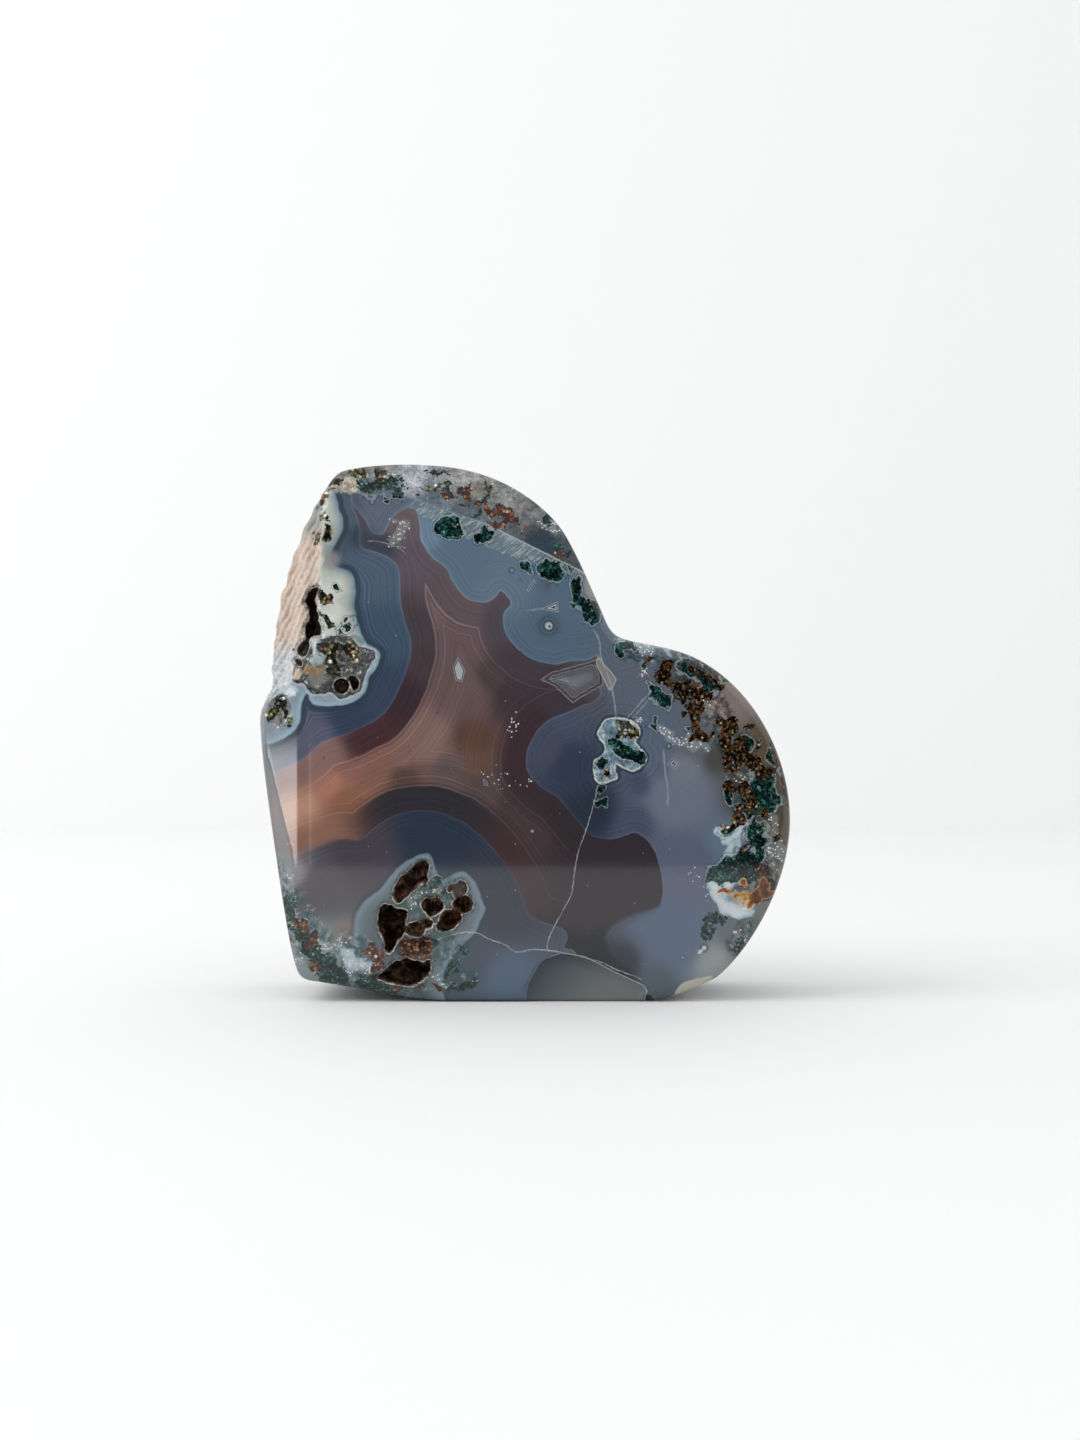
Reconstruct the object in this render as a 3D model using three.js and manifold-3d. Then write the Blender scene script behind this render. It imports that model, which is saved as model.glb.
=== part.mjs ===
// A polished agate heart that stands on its long lower edge with its point low at the left.
// It is one stone: a thick heart-shaped slab with rounded edges, ground and broken in these places:
// a flat facet on the upper lobe, a rough natural rind on the upper left edge, open pits low on the front,
// a druse pocket beside the rind, and a shallow flake lost from the foot of the front.
// Millimetres, +Z up, X to the right, and the polished front looks towards -Y.
// The origin is under the middle of the stone, on the surface that it stands on.
import * as THREE from "three";
import { mergeVertices, toCreasedNormals } from "three/addons/utils/BufferGeometryUtils.js";
import Module from "manifold-3d";

// Driving dimensions
const THICKNESS = 30;
const EDGE_RADIUS = 2;
const OUTLINE_STEP = 1.6; // length of one facet along the rim
const EDGE_FACETS = 3;
const CREASE_ANGLE = 0.6; // radians; facets that meet at less than this are shaded as one surface
const FRONT = -THICKNESS / 2;
const BACK = THICKNESS / 2;
const STONE_COLOUR = 0x5b6472;

// The rim, as (X, Z) ends of its stretches; each curved stretch has two control points before its end.
const RIM_START = [-14, 0];
const RIM = [
  { name: "foot that it stands on", to: [21.5, 0] },
  { name: "foot, right end", by: [[25.5, 0.4], [30.4, 2.2]], to: [34, 4.2] },
  { name: "right lobe, lower half", by: [[40.6, 9.6], [47, 21.5]], to: [47, 32] },
  { name: "right lobe, upper half", by: [[47, 44], [40, 56.5]], to: [29.4, 61.2] },
  { name: "shoulder to the cleft", by: [[25, 63], [19.8, 63.4]], to: [17.5, 64.2] },
  { name: "cleft", by: [[16, 64.7], [15.2, 65.4]], to: [14.4, 67.2] },
  { name: "flank above the cleft", by: [[12.3, 72], [9.8, 78]], to: [7.3, 82.4] },
  { name: "upper lobe", by: [[4.5, 87.3], [-4, 94.8]], to: [-16.8, 95.1] },
  { name: "crest", by: [[-21, 95.3], [-27, 95.3]], to: [-31.9, 94.1] },
  { name: "upper left corner", by: [[-33.5, 93.7], [-34.3, 92.4]], to: [-35.1, 91] },
  { name: "rind, upper part", by: [[-38.6, 86.4], [-43.2, 78.6]], to: [-44.8, 71.7] },
  { name: "rind, lower part", by: [[-45.9, 67], [-46.6, 62]], to: [-45.6, 56.5] },
  { name: "bump under the rind", by: [[-45.5, 54], [-47, 52.5]], to: [-47, 49.5] },
  { name: "left flank", by: [[-46.9, 44], [-43, 14]], to: [-40.6, 6.2] },
  { name: "point", by: [[-40.1, 4.4], [-39.4, 3.7]], to: [-37.5, 3.5] },
  { name: "rise to the point", by: [[-29, 2.3], [-22.5, 0.5]], to: RIM_START },
];

// The flat facets ground on the upper lobe: where each leaves the front, as (X, Z) from left to right,
// and how far they all lean back from it, in degrees.
const FACET_LINE = [[-36, 90.1], [-21.3, 89.3], [-6.9, 84.4], [6.4, 77.8]];
const FACET_LEAN = 24;

// The rind: the line where it leaves each face, how steeply it falls back from there, and the height of
// its lumps. Below runOutBelow it swings out to the bump on the rim, by runOut times the height squared.
const RIND = {
  top: 95,
  bottom: 48,
  front: { topX: -35.0, bottomX: -37.4, slope: 1.5 },
  back: { topX: -35.6, bottomX: -39.6, slope: 2.2 },
  lump: 0.55,
  runOutBelow: 65.5,
  runOut: 0.042,
  cellSize: 1.9,
};

// Open pits in the front: middle (X, Z), half sizes across and along, turn in degrees, depth.
const PITS = [
  { at: [-20.0, 21.4], half: [4.6, 1.8], turn: 47, depth: 3.0 },
  { at: [-23.5, 13.6], half: [4.4, 2.5], turn: 98, depth: 4.4 },
  { at: [-16.5, 16.9], half: [1.9, 1.7], turn: 20, depth: 2.8 },
  { at: [-18.8, 13.0], half: [2.4, 1.4], turn: 25, depth: 2.0 },
  { at: [-11.8, 20.1], half: [1.6, 1.5], turn: 0, depth: 1.3 },
  { at: [-11.0, 17.3], half: [2.0, 1.6], turn: 80, depth: 3.0 },
  { at: [-13.3, 14.6], half: [2.3, 1.7], turn: 45, depth: 3.2 },
  { at: [-21.0, 6.0], half: [4.6, 3.0], turn: 8, depth: 5.0 },
  { at: [-32.3, 55.6], half: [1.5, 1.4], turn: 0, depth: 2.6 },
  { at: [-30.4, 56.5], half: [1.5, 1.3], turn: 30, depth: 2.6 },
];

// Shallow hollows lined with small crystals, with the same values.
const DRUSES = [
  { at: [-33.0, 61.2], half: [4.6, 3.2], turn: 15, depth: 1.5, crystals: 15 },
  { at: [-28.4, 60.0], half: [2.7, 1.5], turn: 25, depth: 0.9, crystals: 4 },
  { at: [-37.3, 68.0], half: [5.2, 1.5], turn: 97, depth: 4.2, crystals: 0 },
  { at: [-43.6, 51.4], half: [2.6, 2.0], turn: 60, depth: 1.7, crystals: 5 },
  { at: [-19.2, 9.9], half: [3.4, 1.5], turn: 15, depth: 1.2, crystals: 7 },
  { at: [38.2, 18.8], half: [2.6, 1.7], turn: -15, depth: 1.3, crystals: 3 },
  { at: [17.4, 48.6], half: [1.5, 1.1], turn: 20, depth: 0.8, crystals: 2 },
];
const CRYSTAL_SIZE = 0.85;

// The flake lost from the foot of the front, and the nick at its right end.
const FLAKE = { at: [10.8, 1.6], half: [11, 7.4], turn: -6, depth: 1.1 };
const NICK = { at: [21.8, 0], half: [0.9, 1.5], turn: 0, depth: 2.4 };

const wasm = await Module();
wasm.setup();

// A closed three.js geometry as a manifold solid.
function solidOf(geometry) {
  const bare = geometry.clone();
  bare.deleteAttribute("normal");
  bare.deleteAttribute("uv");
  const merged = mergeVertices(bare, 1e-4);
  return new wasm.Manifold(
    new wasm.Mesh({
      numProp: 3,
      vertProperties: new Float32Array(merged.attributes.position.array),
      triVerts: new Uint32Array(merged.index.array),
    }),
  );
}

// A manifold solid as a three.js geometry.
function geometryOf(solid) {
  const mesh = solid.getMesh();
  const geometry = new THREE.BufferGeometry();
  geometry.setAttribute("position", new THREE.BufferAttribute(mesh.vertProperties, 3));
  geometry.setIndex(new THREE.BufferAttribute(mesh.triVerts, 1));
  return toCreasedNormals(geometry, CREASE_ANGLE);
}

// A smooth uneven height between about -1 and 1 that depends only on where a point is.
function unevenness(p) {
  return (
    (Math.sin(0.83 * p.x + 1.3 * p.z + 0.4) +
      Math.sin(1.27 * p.z - 0.71 * p.y + 2.1) +
      Math.sin(1.61 * p.y + 0.95 * p.x + 4.0) +
      Math.sin(2.3 * p.z + 1.9 * p.y - 1.7 * p.x)) /
    2.6
  );
}

// The rim as points about one facet length apart.
function rimPoints() {
  const points = [];
  let start = new THREE.Vector2(...RIM_START);
  for (const stretch of RIM) {
    const end = new THREE.Vector2(...stretch.to);
    const curve = stretch.by
      ? new THREE.CubicBezierCurve(
          start,
          new THREE.Vector2(...stretch.by[0]),
          new THREE.Vector2(...stretch.by[1]),
          end,
        )
      : new THREE.LineCurve(start, end);
    const steps = Math.max(2, Math.round(curve.getLength() / OUTLINE_STEP));
    points.push(...curve.getSpacedPoints(steps).slice(0, -1));
    start = end;
  }
  return points;
}

// The slab with its rounded edges, before anything is ground or broken off it.
function slab() {
  const geometry = new THREE.ExtrudeGeometry(new THREE.Shape(rimPoints()), {
    depth: THICKNESS - 2 * EDGE_RADIUS,
    bevelThickness: EDGE_RADIUS,
    bevelSize: EDGE_RADIUS,
    bevelOffset: -EDGE_RADIUS,
    bevelSegments: EDGE_FACETS,
    steps: 1,
  });
  geometry.rotateX(Math.PI / 2);
  geometry.translate(0, THICKNESS / 2 - EDGE_RADIUS, 0);
  return solidOf(geometry);
}

// A block that takes away everything in front of one facet of the upper lobe.
function facetCutter([fromX, fromZ], [toX, toZ]) {
  const length = 60;
  const reach = 30;
  const block = new THREE.BoxGeometry(length, reach, reach);
  block.translate(0, -reach / 2, reach / 2);
  block.rotateX(THREE.MathUtils.degToRad(-FACET_LEAN));
  block.rotateY(-Math.atan2(toZ - fromZ, toX - fromX));
  block.translate((fromX + toX) / 2, FRONT, (fromZ + toZ) / 2);
  return solidOf(block);
}

// A block with one lumpy face, which breaks the rind's slope off one face of the slab.
// side is -1 for the front and 1 for the back.
function rindCutter({ topX, bottomX, slope }, side) {
  const height = RIND.top - RIND.bottom;
  const up = new THREE.Vector3(topX - bottomX, 0, height).normalize();
  const out = new THREE.Vector3(-slope, side, 0).normalize();
  const across = new THREE.Vector3().crossVectors(up, out).normalize();
  const face = new THREE.Vector3().crossVectors(across, up).normalize();
  const reach = 40;
  const tall = height + 12;
  const block = new THREE.BoxGeometry(
    reach,
    tall,
    reach / 2,
    Math.round(reach / RIND.cellSize),
    Math.round(tall / RIND.cellSize),
    1,
  );
  block.translate(0, tall / 2, reach / 4);
  const foot = new THREE.Vector3(bottomX, side * BACK, RIND.bottom);
  block.applyMatrix4(new THREE.Matrix4().makeBasis(across, up, face).setPosition(foot));
  const position = block.attributes.position;
  const p = new THREE.Vector3();
  for (let i = 0; i < position.count; i++) {
    p.fromBufferAttribute(position, i);
    const outward = RIND.runOut * Math.max(0, RIND.runOutBelow - p.z) ** 2;
    p.addScaledVector(face, outward + RIND.lump * unevenness(p));
    position.setXYZ(i, p.x, p.y, p.z);
  }
  return solidOf(block);
}

// The bowl of a pit, a druse or the flake: an ellipsoid with its middle on the front.
function bowl({ at, half, turn, depth }, columns, rows) {
  const ball = new THREE.SphereGeometry(1, columns, rows);
  ball.rotateX(Math.PI / 2);
  ball.scale(half[0], depth, half[1]);
  ball.rotateY(THREE.MathUtils.degToRad(-turn));
  ball.translate(at[0], FRONT, at[1]);
  return solidOf(ball);
}

// The small crystals on the floor of a druse: each is an eight-sided point that stands out of the stone.
// The golden angle spreads them over the hollow.
function druseCrystals({ at, half, turn, depth, crystals }) {
  const goldenAngle = Math.PI * (3 - Math.sqrt(5));
  const solids = [];
  for (let i = 0; i < crystals; i++) {
    const spread = 0.72 * Math.sqrt((i + 0.5) / crystals);
    const angle = i * goldenAngle;
    const floor = depth * Math.sqrt(1 - spread * spread);
    const size = CRYSTAL_SIZE * (0.7 + 0.3 * Math.sin(5 * i));
    const crystal = new THREE.OctahedronGeometry(size);
    crystal.rotateX(0.9 * i);
    crystal.rotateZ(1.7 * i);
    crystal.translate(half[0] * spread * Math.cos(angle), 0, half[1] * spread * Math.sin(angle));
    crystal.rotateY(THREE.MathUtils.degToRad(-turn));
    crystal.translate(at[0], FRONT + floor, at[1]);
    solids.push(solidOf(crystal));
  }
  return solids;
}

function heartStone() {
  let stone = slab();
  for (let i = 1; i < FACET_LINE.length; i++) {
    stone = stone.subtract(facetCutter(FACET_LINE[i - 1], FACET_LINE[i]));
  }
  stone = stone
    .subtract(rindCutter(RIND.front, -1))
    .subtract(rindCutter(RIND.back, 1))
    .subtract(bowl(FLAKE, 40, 16))
    .subtract(bowl(NICK, 10, 8));
  const whole = stone;
  for (const pit of PITS) {
    stone = stone.subtract(bowl(pit, 16, 12));
  }
  for (const druse of DRUSES) {
    stone = stone.subtract(bowl(druse, 16, 12));
  }
  // The crystals stay inside the stone as it was before the hollows opened.
  for (const druse of DRUSES) {
    for (const crystal of druseCrystals(druse)) {
      stone = stone.add(crystal.intersect(whole));
    }
  }
  const mesh = new THREE.Mesh(
    geometryOf(stone),
    new THREE.MeshStandardMaterial({ color: STONE_COLOUR, roughness: 0.12, metalness: 0 }),
  );
  mesh.name = "heart_stone";
  return mesh;
}

const heart = new THREE.Group();
heart.name = "agate_heart";
heart.add(heartStone());

export default heart;
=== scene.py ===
"""A polished agate heart, standing on its long lower edge on a plain pale floor.

The stone is one closed surface worked out with numpy on a grid that runs round the rim and from the middle
of the polished front, over the edge, to the middle of the back. Its pattern is made the way agate grows:
each vertex holds its distance to the walls that the bands grew on, and the finish turns it into bands.
"""
import math

import bpy
import numpy as np
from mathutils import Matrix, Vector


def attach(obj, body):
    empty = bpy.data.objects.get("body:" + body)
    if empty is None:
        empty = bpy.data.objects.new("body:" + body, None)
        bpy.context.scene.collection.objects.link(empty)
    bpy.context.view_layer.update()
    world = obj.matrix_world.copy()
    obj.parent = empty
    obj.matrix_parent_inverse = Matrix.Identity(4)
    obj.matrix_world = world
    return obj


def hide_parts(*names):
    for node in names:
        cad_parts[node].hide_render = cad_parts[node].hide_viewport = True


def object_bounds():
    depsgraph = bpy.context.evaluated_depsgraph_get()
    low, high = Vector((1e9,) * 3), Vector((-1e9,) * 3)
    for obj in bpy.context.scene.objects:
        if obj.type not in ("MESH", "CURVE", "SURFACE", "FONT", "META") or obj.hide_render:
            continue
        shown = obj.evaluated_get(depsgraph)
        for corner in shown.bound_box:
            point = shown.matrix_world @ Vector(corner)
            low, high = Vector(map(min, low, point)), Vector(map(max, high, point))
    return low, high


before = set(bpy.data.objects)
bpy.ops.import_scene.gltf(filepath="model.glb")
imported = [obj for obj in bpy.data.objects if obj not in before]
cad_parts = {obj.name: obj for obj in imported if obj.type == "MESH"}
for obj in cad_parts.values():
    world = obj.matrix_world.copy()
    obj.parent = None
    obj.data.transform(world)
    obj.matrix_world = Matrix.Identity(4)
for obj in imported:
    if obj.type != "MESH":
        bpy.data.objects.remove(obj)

CAD_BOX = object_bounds()

bl_info = {
    "name": "Agate Heart",
    "version": (1, 0, 0),
    "blender": (4, 5, 0),
    "location": "3D View > Sidebar > Agate",
    "description": "A polished agate heart with bands, moss, open pits and a rough rind",
    "category": "Add Mesh",
}

MM = 0.001
FRONT = CAD_BOX[0].y / MM
BACK = CAD_BOX[1].y / MM

# The rim of the heart as (X, Z) in mm: each stretch is its end, or two control points and its end.
RIM_START = (-14, 0)
RIM = [
    [(21.5, 0)],
    [(25.5, 0.4), (30.4, 2.2), (34, 4.2)],
    [(40.6, 9.6), (47, 21.5), (47, 32)],
    [(47, 44), (40, 56.5), (29.4, 61.2)],
    [(25, 63), (19.8, 63.4), (17.5, 64.2)],
    [(16, 64.7), (15.2, 65.4), (14.4, 67.2)],
    [(12.3, 72), (9.8, 78), (7.3, 82.4)],
    [(4.5, 87.3), (-4, 94.8), (-16.8, 95.1)],
    [(-21, 95.3), (-27, 95.3), (-31.9, 94.1)],
    [(-33.5, 93.7), (-34.3, 92.4), (-35.1, 91)],
    [(-38.6, 86.4), (-43.2, 78.6), (-44.8, 71.7)],
    [(-45.9, 67), (-46.6, 62), (-45.6, 56.5)],
    [(-45.5, 54), (-47, 52.5), (-47, 49.5)],
    [(-46.9, 44), (-43, 14), (-40.6, 6.2)],
    [(-40.1, 4.4), (-39.4, 3.7), (-37.5, 3.5)],
    [(-29, 2.3), (-22.5, 0.5), RIM_START],
]
# Where the grid's lines meet, on the front and on the back.
GRID_MIDDLE = (-17, 14)

# The facets on the upper lobe: the line where they leave the front, and how far they lean back.
FACET_LINE = [(-36, 90.1), (-21.3, 89.3), (-6.9, 84.4), (6.4, 77.8)]
FACET_LEAN = math.radians(24)
# The left flank has a narrow bevel, and the front beside it leans a little to the left.
FLANK_LINE = [(-39.4, 3.5), (-41.1, 27.2), (-45.3, 46.5), (-47.3, 56)]
FLANK_LEAN = math.radians(38)
# The front leans to the left beyond this X, and by this much. At the last height both have faded out.
GLINT_EDGE = -39.2
GLINT_LEAN = math.radians(7)
FLANK_TOP = 60
# The facets, the flank and the rind take the front back by this much at most. Where they cut the rim, its
# radius shrinks to the second number. Both are in mm.
DEEPEST_CUT = 16
LEAST_RADIUS = 0.45

# The rind's crease with each face, as its X at the top and the bottom height, how steeply the rind falls
# back from there, and the height of its lumps. Below the last height it runs out.
RIND_TOP = 95
RIND_BOTTOM = 48
RIND_FRONT = {"top": -35.0, "bottom": -37.4, "slope": 1.5}
RIND_BACK = {"top": -35.6, "bottom": -39.6, "slope": 2.2}
RIND_LUMP = 0.55
RIND_RUN_OUT_BELOW = 65.5
RIND_RUN_OUT = 0.042

# Open pits: depth in mm and outline on the front.
PITS = {
    "upper left": (3, [
        (-23.3, 18.6), (-22.9, 20.5), (-21.7, 22.1), (-20.3, 23.3), (-19, 24.6), (-17.4, 24.8),
        (-16.9, 23.9), (-17.3, 22.6), (-17.1, 21.4), (-18, 20.9), (-19, 20.3), (-20.3, 19.1),
        (-21.5, 18.1), (-22.6, 17.7),
    ]),
    "left": (4.4, [
        (-25.9, 15.6), (-25.4, 16.8), (-24.3, 17.3), (-22.2, 16.6), (-20.8, 16.1), (-20.8, 15.1),
        (-21.1, 13.8), (-21, 12.8), (-21.7, 11.5), (-22.6, 10.5), (-23.3, 9.2), (-24, 8.5),
        (-24.7, 9.2), (-25, 10.8), (-25.6, 12.6), (-26.1, 14),
    ]),
    "middle": (2.8, [
        (-18.3, 16.8), (-18, 17.9), (-16.7, 18.4), (-15.2, 18.2), (-14.3, 17.5), (-14.6, 16.3),
        (-15.5, 15.6), (-16.6, 15.1), (-17.6, 15.6),
    ]),
    "shallow": (1.8, [
        (-18.5, 14.4), (-17.3, 14.7), (-16.2, 14.4), (-16.4, 13.3), (-17.3, 12.8), (-18.5, 11.7),
        (-19.7, 11.7), (-21, 12.1), (-21.1, 13.1), (-20.3, 14),
    ]),
    "gray": (1.2, [
        (-12.7, 19.3), (-12.9, 20.5), (-11.6, 21.4), (-10.4, 21.1), (-10.2, 19.6), (-10.9, 18.6),
        (-12, 18.2),
    ]),
    "right": (3, [
        (-12.3, 18.2), (-10.6, 19.1), (-9.7, 18.2), (-9.3, 16.8), (-9.9, 15.8), (-10.9, 15.6),
        (-12, 16.1), (-12.7, 16.8),
    ]),
    "lower right": (3.2, [
        (-15.5, 14), (-14.6, 15.8), (-13.4, 16.3), (-12, 16.1), (-11.1, 15.2), (-11.6, 14),
        (-12.9, 12.8), (-14.1, 12.4), (-15.2, 12.9),
    ]),
    "small": (1.5, [
        (-13.7, 20), (-13.2, 20.7), (-12.7, 20.2), (-12.9, 19.5), (-13.6, 19.5),
    ]),
    "low": (4.2, [
        (-26.1, 4.5), (-24.7, 5.7), (-23.3, 6.9), (-21.5, 7.6), (-19.7, 7.6), (-18, 6.9), (-16.9, 7.5),
        (-16.6, 6.2), (-17.3, 4.7), (-18.2, 3.8), (-19.7, 2.9), (-21.5, 2.9), (-22.9, 3.2), (-24.7, 3.6),
    ]),
    "left twin": (2.6, [
        (-33.8, 55.8), (-33.4, 56.8), (-32.4, 57.2), (-31.4, 56.8), (-31, 55.8), (-31.4, 54.8),
        (-32.4, 54.4), (-33.4, 54.8),
    ]),
    "right twin": (2.6, [
        (-31.4, 57.3), (-30.6, 57.7), (-29.7, 57.3), (-29.2, 56.4), (-29.5, 55.4), (-30.3, 55),
        (-30.7, 55.8), (-31, 56.7),
    ]),
    "fissure": (3.6, [
        (-38.6, 72.6), (-37.7, 73.3), (-36.8, 73.4), (-36.8, 72.4), (-37.4, 70.4), (-37, 69.2),
        (-36.5, 68), (-36.3, 66.7), (-36.1, 65.1), (-37, 64.8), (-38.1, 64.6), (-39.1, 63.9),
        (-39.5, 66.2), (-38.8, 67.4), (-38.6, 68.7), (-38.6, 69.7), (-39.7, 71.1),
    ]),
    "brown": (1.5, [
        (-40.9, 62.3), (-40.7, 63.2), (-39.8, 63.9), (-38.8, 64.1), (-38.3, 63.2), (-38.6, 62),
        (-39.1, 61.1), (-40.4, 61.3),
    ]),
    "dark hole": (1.5, [
        (-41.1, 60.4), (-40.4, 60.7), (-39.7, 60.2), (-39.7, 59.5), (-40.5, 59.5),
    ]),
}
# These have nearly smooth rims.
ROUND_PITS = ("left twin", "right twin", "brown")
# A pit reaches its full depth this far inside its rim, and the flake this far inside its outline, in mm.
PIT_WALL = 1.1
FLAKE_WALL = 2.2
# Shallow hollows lined with crystals: middle (X, Z), half sizes, turn in degrees, depth.
DRUSES = [
    ((-33, 61.2), (4.6, 3.2), 15, 1.5),
    ((-28.4, 60), (2.7, 1.5), 25, 0.9),
    ((-43.6, 51.4), (2.6, 2), 60, 1.7),
    ((-19.2, 9.9), (3.4, 1.5), 15, 1.2),
    ((38.2, 18.8), (2.6, 1.7), -15, 1.3),
    ((17.4, 48.6), (1.5, 1.1), 20, 0.8),
]
# The flake lost from the foot of the front, and the nick at its right end.
FLAKE = [
    (0, -3), (0.1, 1.1), (0.5, 3.1), (2.3, 6.5), (3.4, 7.6), (6.5, 8.7), (10.4, 8.1), (13.1, 6.8),
    (15.7, 5.4), (19, 3.9), (20.9, 3), (21.6, 1.9), (21.2, 0.9), (21, -3),
]
NICK = ((21.8, 0), (0.9, 1.5), 0, 2.4)

# The walls that the bands grew on, as outlines on the front in mm. Each closes on itself outside the stone
# where it runs off the front.
LEFT_LOBE = [
    (-30.5, 89.1), (-30.3, 87), (-29.6, 85.6), (-29.1, 83.3), (-28.8, 80.4), (-26, 79.4), (-24, 78.5),
    (-22.6, 77.1), (-22.1, 75.2), (-21.9, 70.7), (-21.1, 67.1), (-20.3, 64.5), (-20.1, 62), (-20.6, 59.5),
    (-21.5, 56.9), (-23.3, 53), (-25.5, 50.3), (-28.4, 48.7), (-31.2, 47.3), (-34.4, 46.3), (-36.3, 45.4),
    (-39.8, 42.4), (-46.7, 40.1), (-56, 41), (-56, 100), (-30.8, 100),
]
TOP_LOBE = [
    (-30.7, 89.1), (-29.4, 86.8), (-28.1, 84.9), (-27.5, 83.5), (-26.5, 82.6), (-24.9, 82.7), (-24.1, 84.3),
    (-23.2, 85.8), (-21.8, 86.8), (-20.4, 87.4), (-19, 88), (-15, 100), (-31, 100),
]
UPPER_LOBE = [
    (-20.5, 88.5), (-19.6, 87.4), (-19, 86.2), (-18.6, 84.4), (-18.4, 82), (-17.8, 80.5), (-16.4, 78.5),
    (-13.9, 76.6), (-12.6, 74), (-10.7, 71.5), (-8.8, 70.7), (-6.8, 70.6), (-5.1, 71.5), (-4.2, 72.6),
    (-2.5, 70.5), (-3.6, 68.9), (-3.9, 67.2), (-3.3, 65), (-2.2, 63.3), (-0.9, 62), (1.1, 60.6),
    (3.3, 59.9), (5.5, 59.6), (8.3, 60.2), (11.1, 60.4), (13.1, 61.1), (14.2, 58.6), (20, 58), (60, 60),
    (60, 105), (-20, 105),
]
RIGHT_LOBE = [
    (13.4, 54.6), (12, 53), (10.4, 52.5), (7.2, 51.1), (4.1, 49.8), (2.1, 47.9), (0.6, 45), (0.2, 42.7),
    (0.5, 40.6), (2.1, 38.7), (3.7, 37.3), (5.7, 36.2), (6.9, 34.8), (8.5, 32.9), (10.9, 30), (12.7, 29.1),
    (15.2, 28.8), (17.5, 29.3), (19.4, 29.9), (21.6, 28.5), (22.8, 26.7), (23.6, 24.4), (24.2, 21.6),
    (24.2, 18.4), (23.2, 16.6), (19.2, 15), (16.2, 13.4), (14.6, 11.8), (15.1, 9.8), (17, 7.4), (19.8, 4.6),
    (23, -8), (62, -8), (62, 64), (16, 60),
]
ARCH_LOBE = [
    (-56, 25), (-41.6, 25.9), (-38.4, 27), (-34, 28.6), (-31.6, 29), (-29.1, 28.8), (-26.2, 31.1),
    (-23.6, 32.7), (-21.5, 33.4), (-18.7, 33.8), (-15.3, 33.6), (-12.5, 32.5), (-10.4, 31.5), (-6.2, 27.8),
    (-2.2, 22.6), (-0.2, 17.9), (0.9, 15.4), (3.7, 14), (6.5, 13.1), (7.6, 11.5), (7, 9.6), (9.5, 7.5),
    (12, -8), (-56, -8),
]
LEFT_CORE = [
    (-33.3, 89), (-32.8, 87), (-32.1, 85.2), (-32.3, 82.8), (-33.8, 80.2), (-34.2, 78.4), (-33.2, 76.8),
    (-31.4, 76.3), (-30.1, 74.8), (-29.9, 72.5), (-30.1, 70.4), (-29.5, 67.3), (-28.8, 64.8), (-28, 63.4),
    (-26.3, 62.5), (-25.4, 61.4), (-25.9, 59.4), (-27.4, 57.2), (-28.2, 54.6), (-30.5, 52.8), (-34, 52.2),
    (-37.4, 52.5), (-38.4, 54.4), (-39.4, 52.6), (-39.9, 49), (-42, 47), (-46, 45.5), (-56, 45.5),
    (-56, 92), (-36, 92),
]
POCKET = [
    (-35.9, 64.1), (-31.9, 64.7), (-29.5, 62.8), (-26.5, 61.7), (-27.9, 58.9), (-28.7, 56.5), (-29.5, 54.8),
    (-32.5, 53.6), (-34.1, 54.7), (-37.5, 54.5), (-38.8, 56.2), (-40.7, 56.6), (-41.6, 58.3), (-41.1, 60.5),
    (-39, 61.2), (-38.2, 63.3),
]
PIT_HALO = [
    (-30.2, 12.5), (-29.9, 15.2), (-28.4, 17.8), (-25.6, 20), (-23.6, 22.5), (-21.9, 24.3), (-19.7, 25.6),
    (-17.6, 26.3), (-16.4, 25.8), (-15.4, 22.8), (-14.4, 21.9), (-11.8, 23), (-10.2, 22.8), (-8.6, 21),
    (-7.6, 18.2), (-6.9, 16.4), (-7.9, 14.2), (-8.8, 12.2), (-12, 9), (-14.5, 4), (-15, -8), (-33, -8),
    (-31.6, 5),
]
WHITE_BLOB = [
    (14.3, 50), (15.9, 50.3), (18.4, 50), (20.1, 48.6), (20.3, 47), (19.6, 46), (21.4, 43.5), (21, 41.9),
    (19.1, 40.6), (17.5, 41.2), (16.2, 41.9), (15.9, 41.2), (16.5, 39.6), (14.3, 38.7), (12.7, 38.7),
    (12, 40.6), (12.2, 42.7), (13.6, 43.8), (13.9, 45.4), (12.7, 47), (13.2, 48.6),
]
KITE = [
    (2.7, 56.9), (4.8, 58.3), (8, 59.2), (10.8, 59.9), (13.1, 60.6), (13.4, 59), (13.9, 56), (11.5, 54.7),
    (8.4, 52.8), (7.2, 53.9), (6.3, 54.8), (4.8, 56),
]
TAN_CHIP = [
    (12.9, 61.3), (13.9, 59.7), (15.2, 58.4), (16.2, 56.9), (15, 54.7), (14.3, 56.1), (13.2, 58.3),
    (12.4, 59.9),
]
BEIGE_PATCH = [
    (-32.6, 92.5), (-30.5, 92.8), (-29.1, 92.1), (-28.4, 90.9), (-29.4, 90.2), (-31.2, 90), (-32.8, 90.5),
]
LOW_CHIP = [(26.3, 1.1), (27.2, 2.9), (29.3, 4), (33.3, 4.7), (30.9, 2.7), (29.1, 1.7)]
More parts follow.
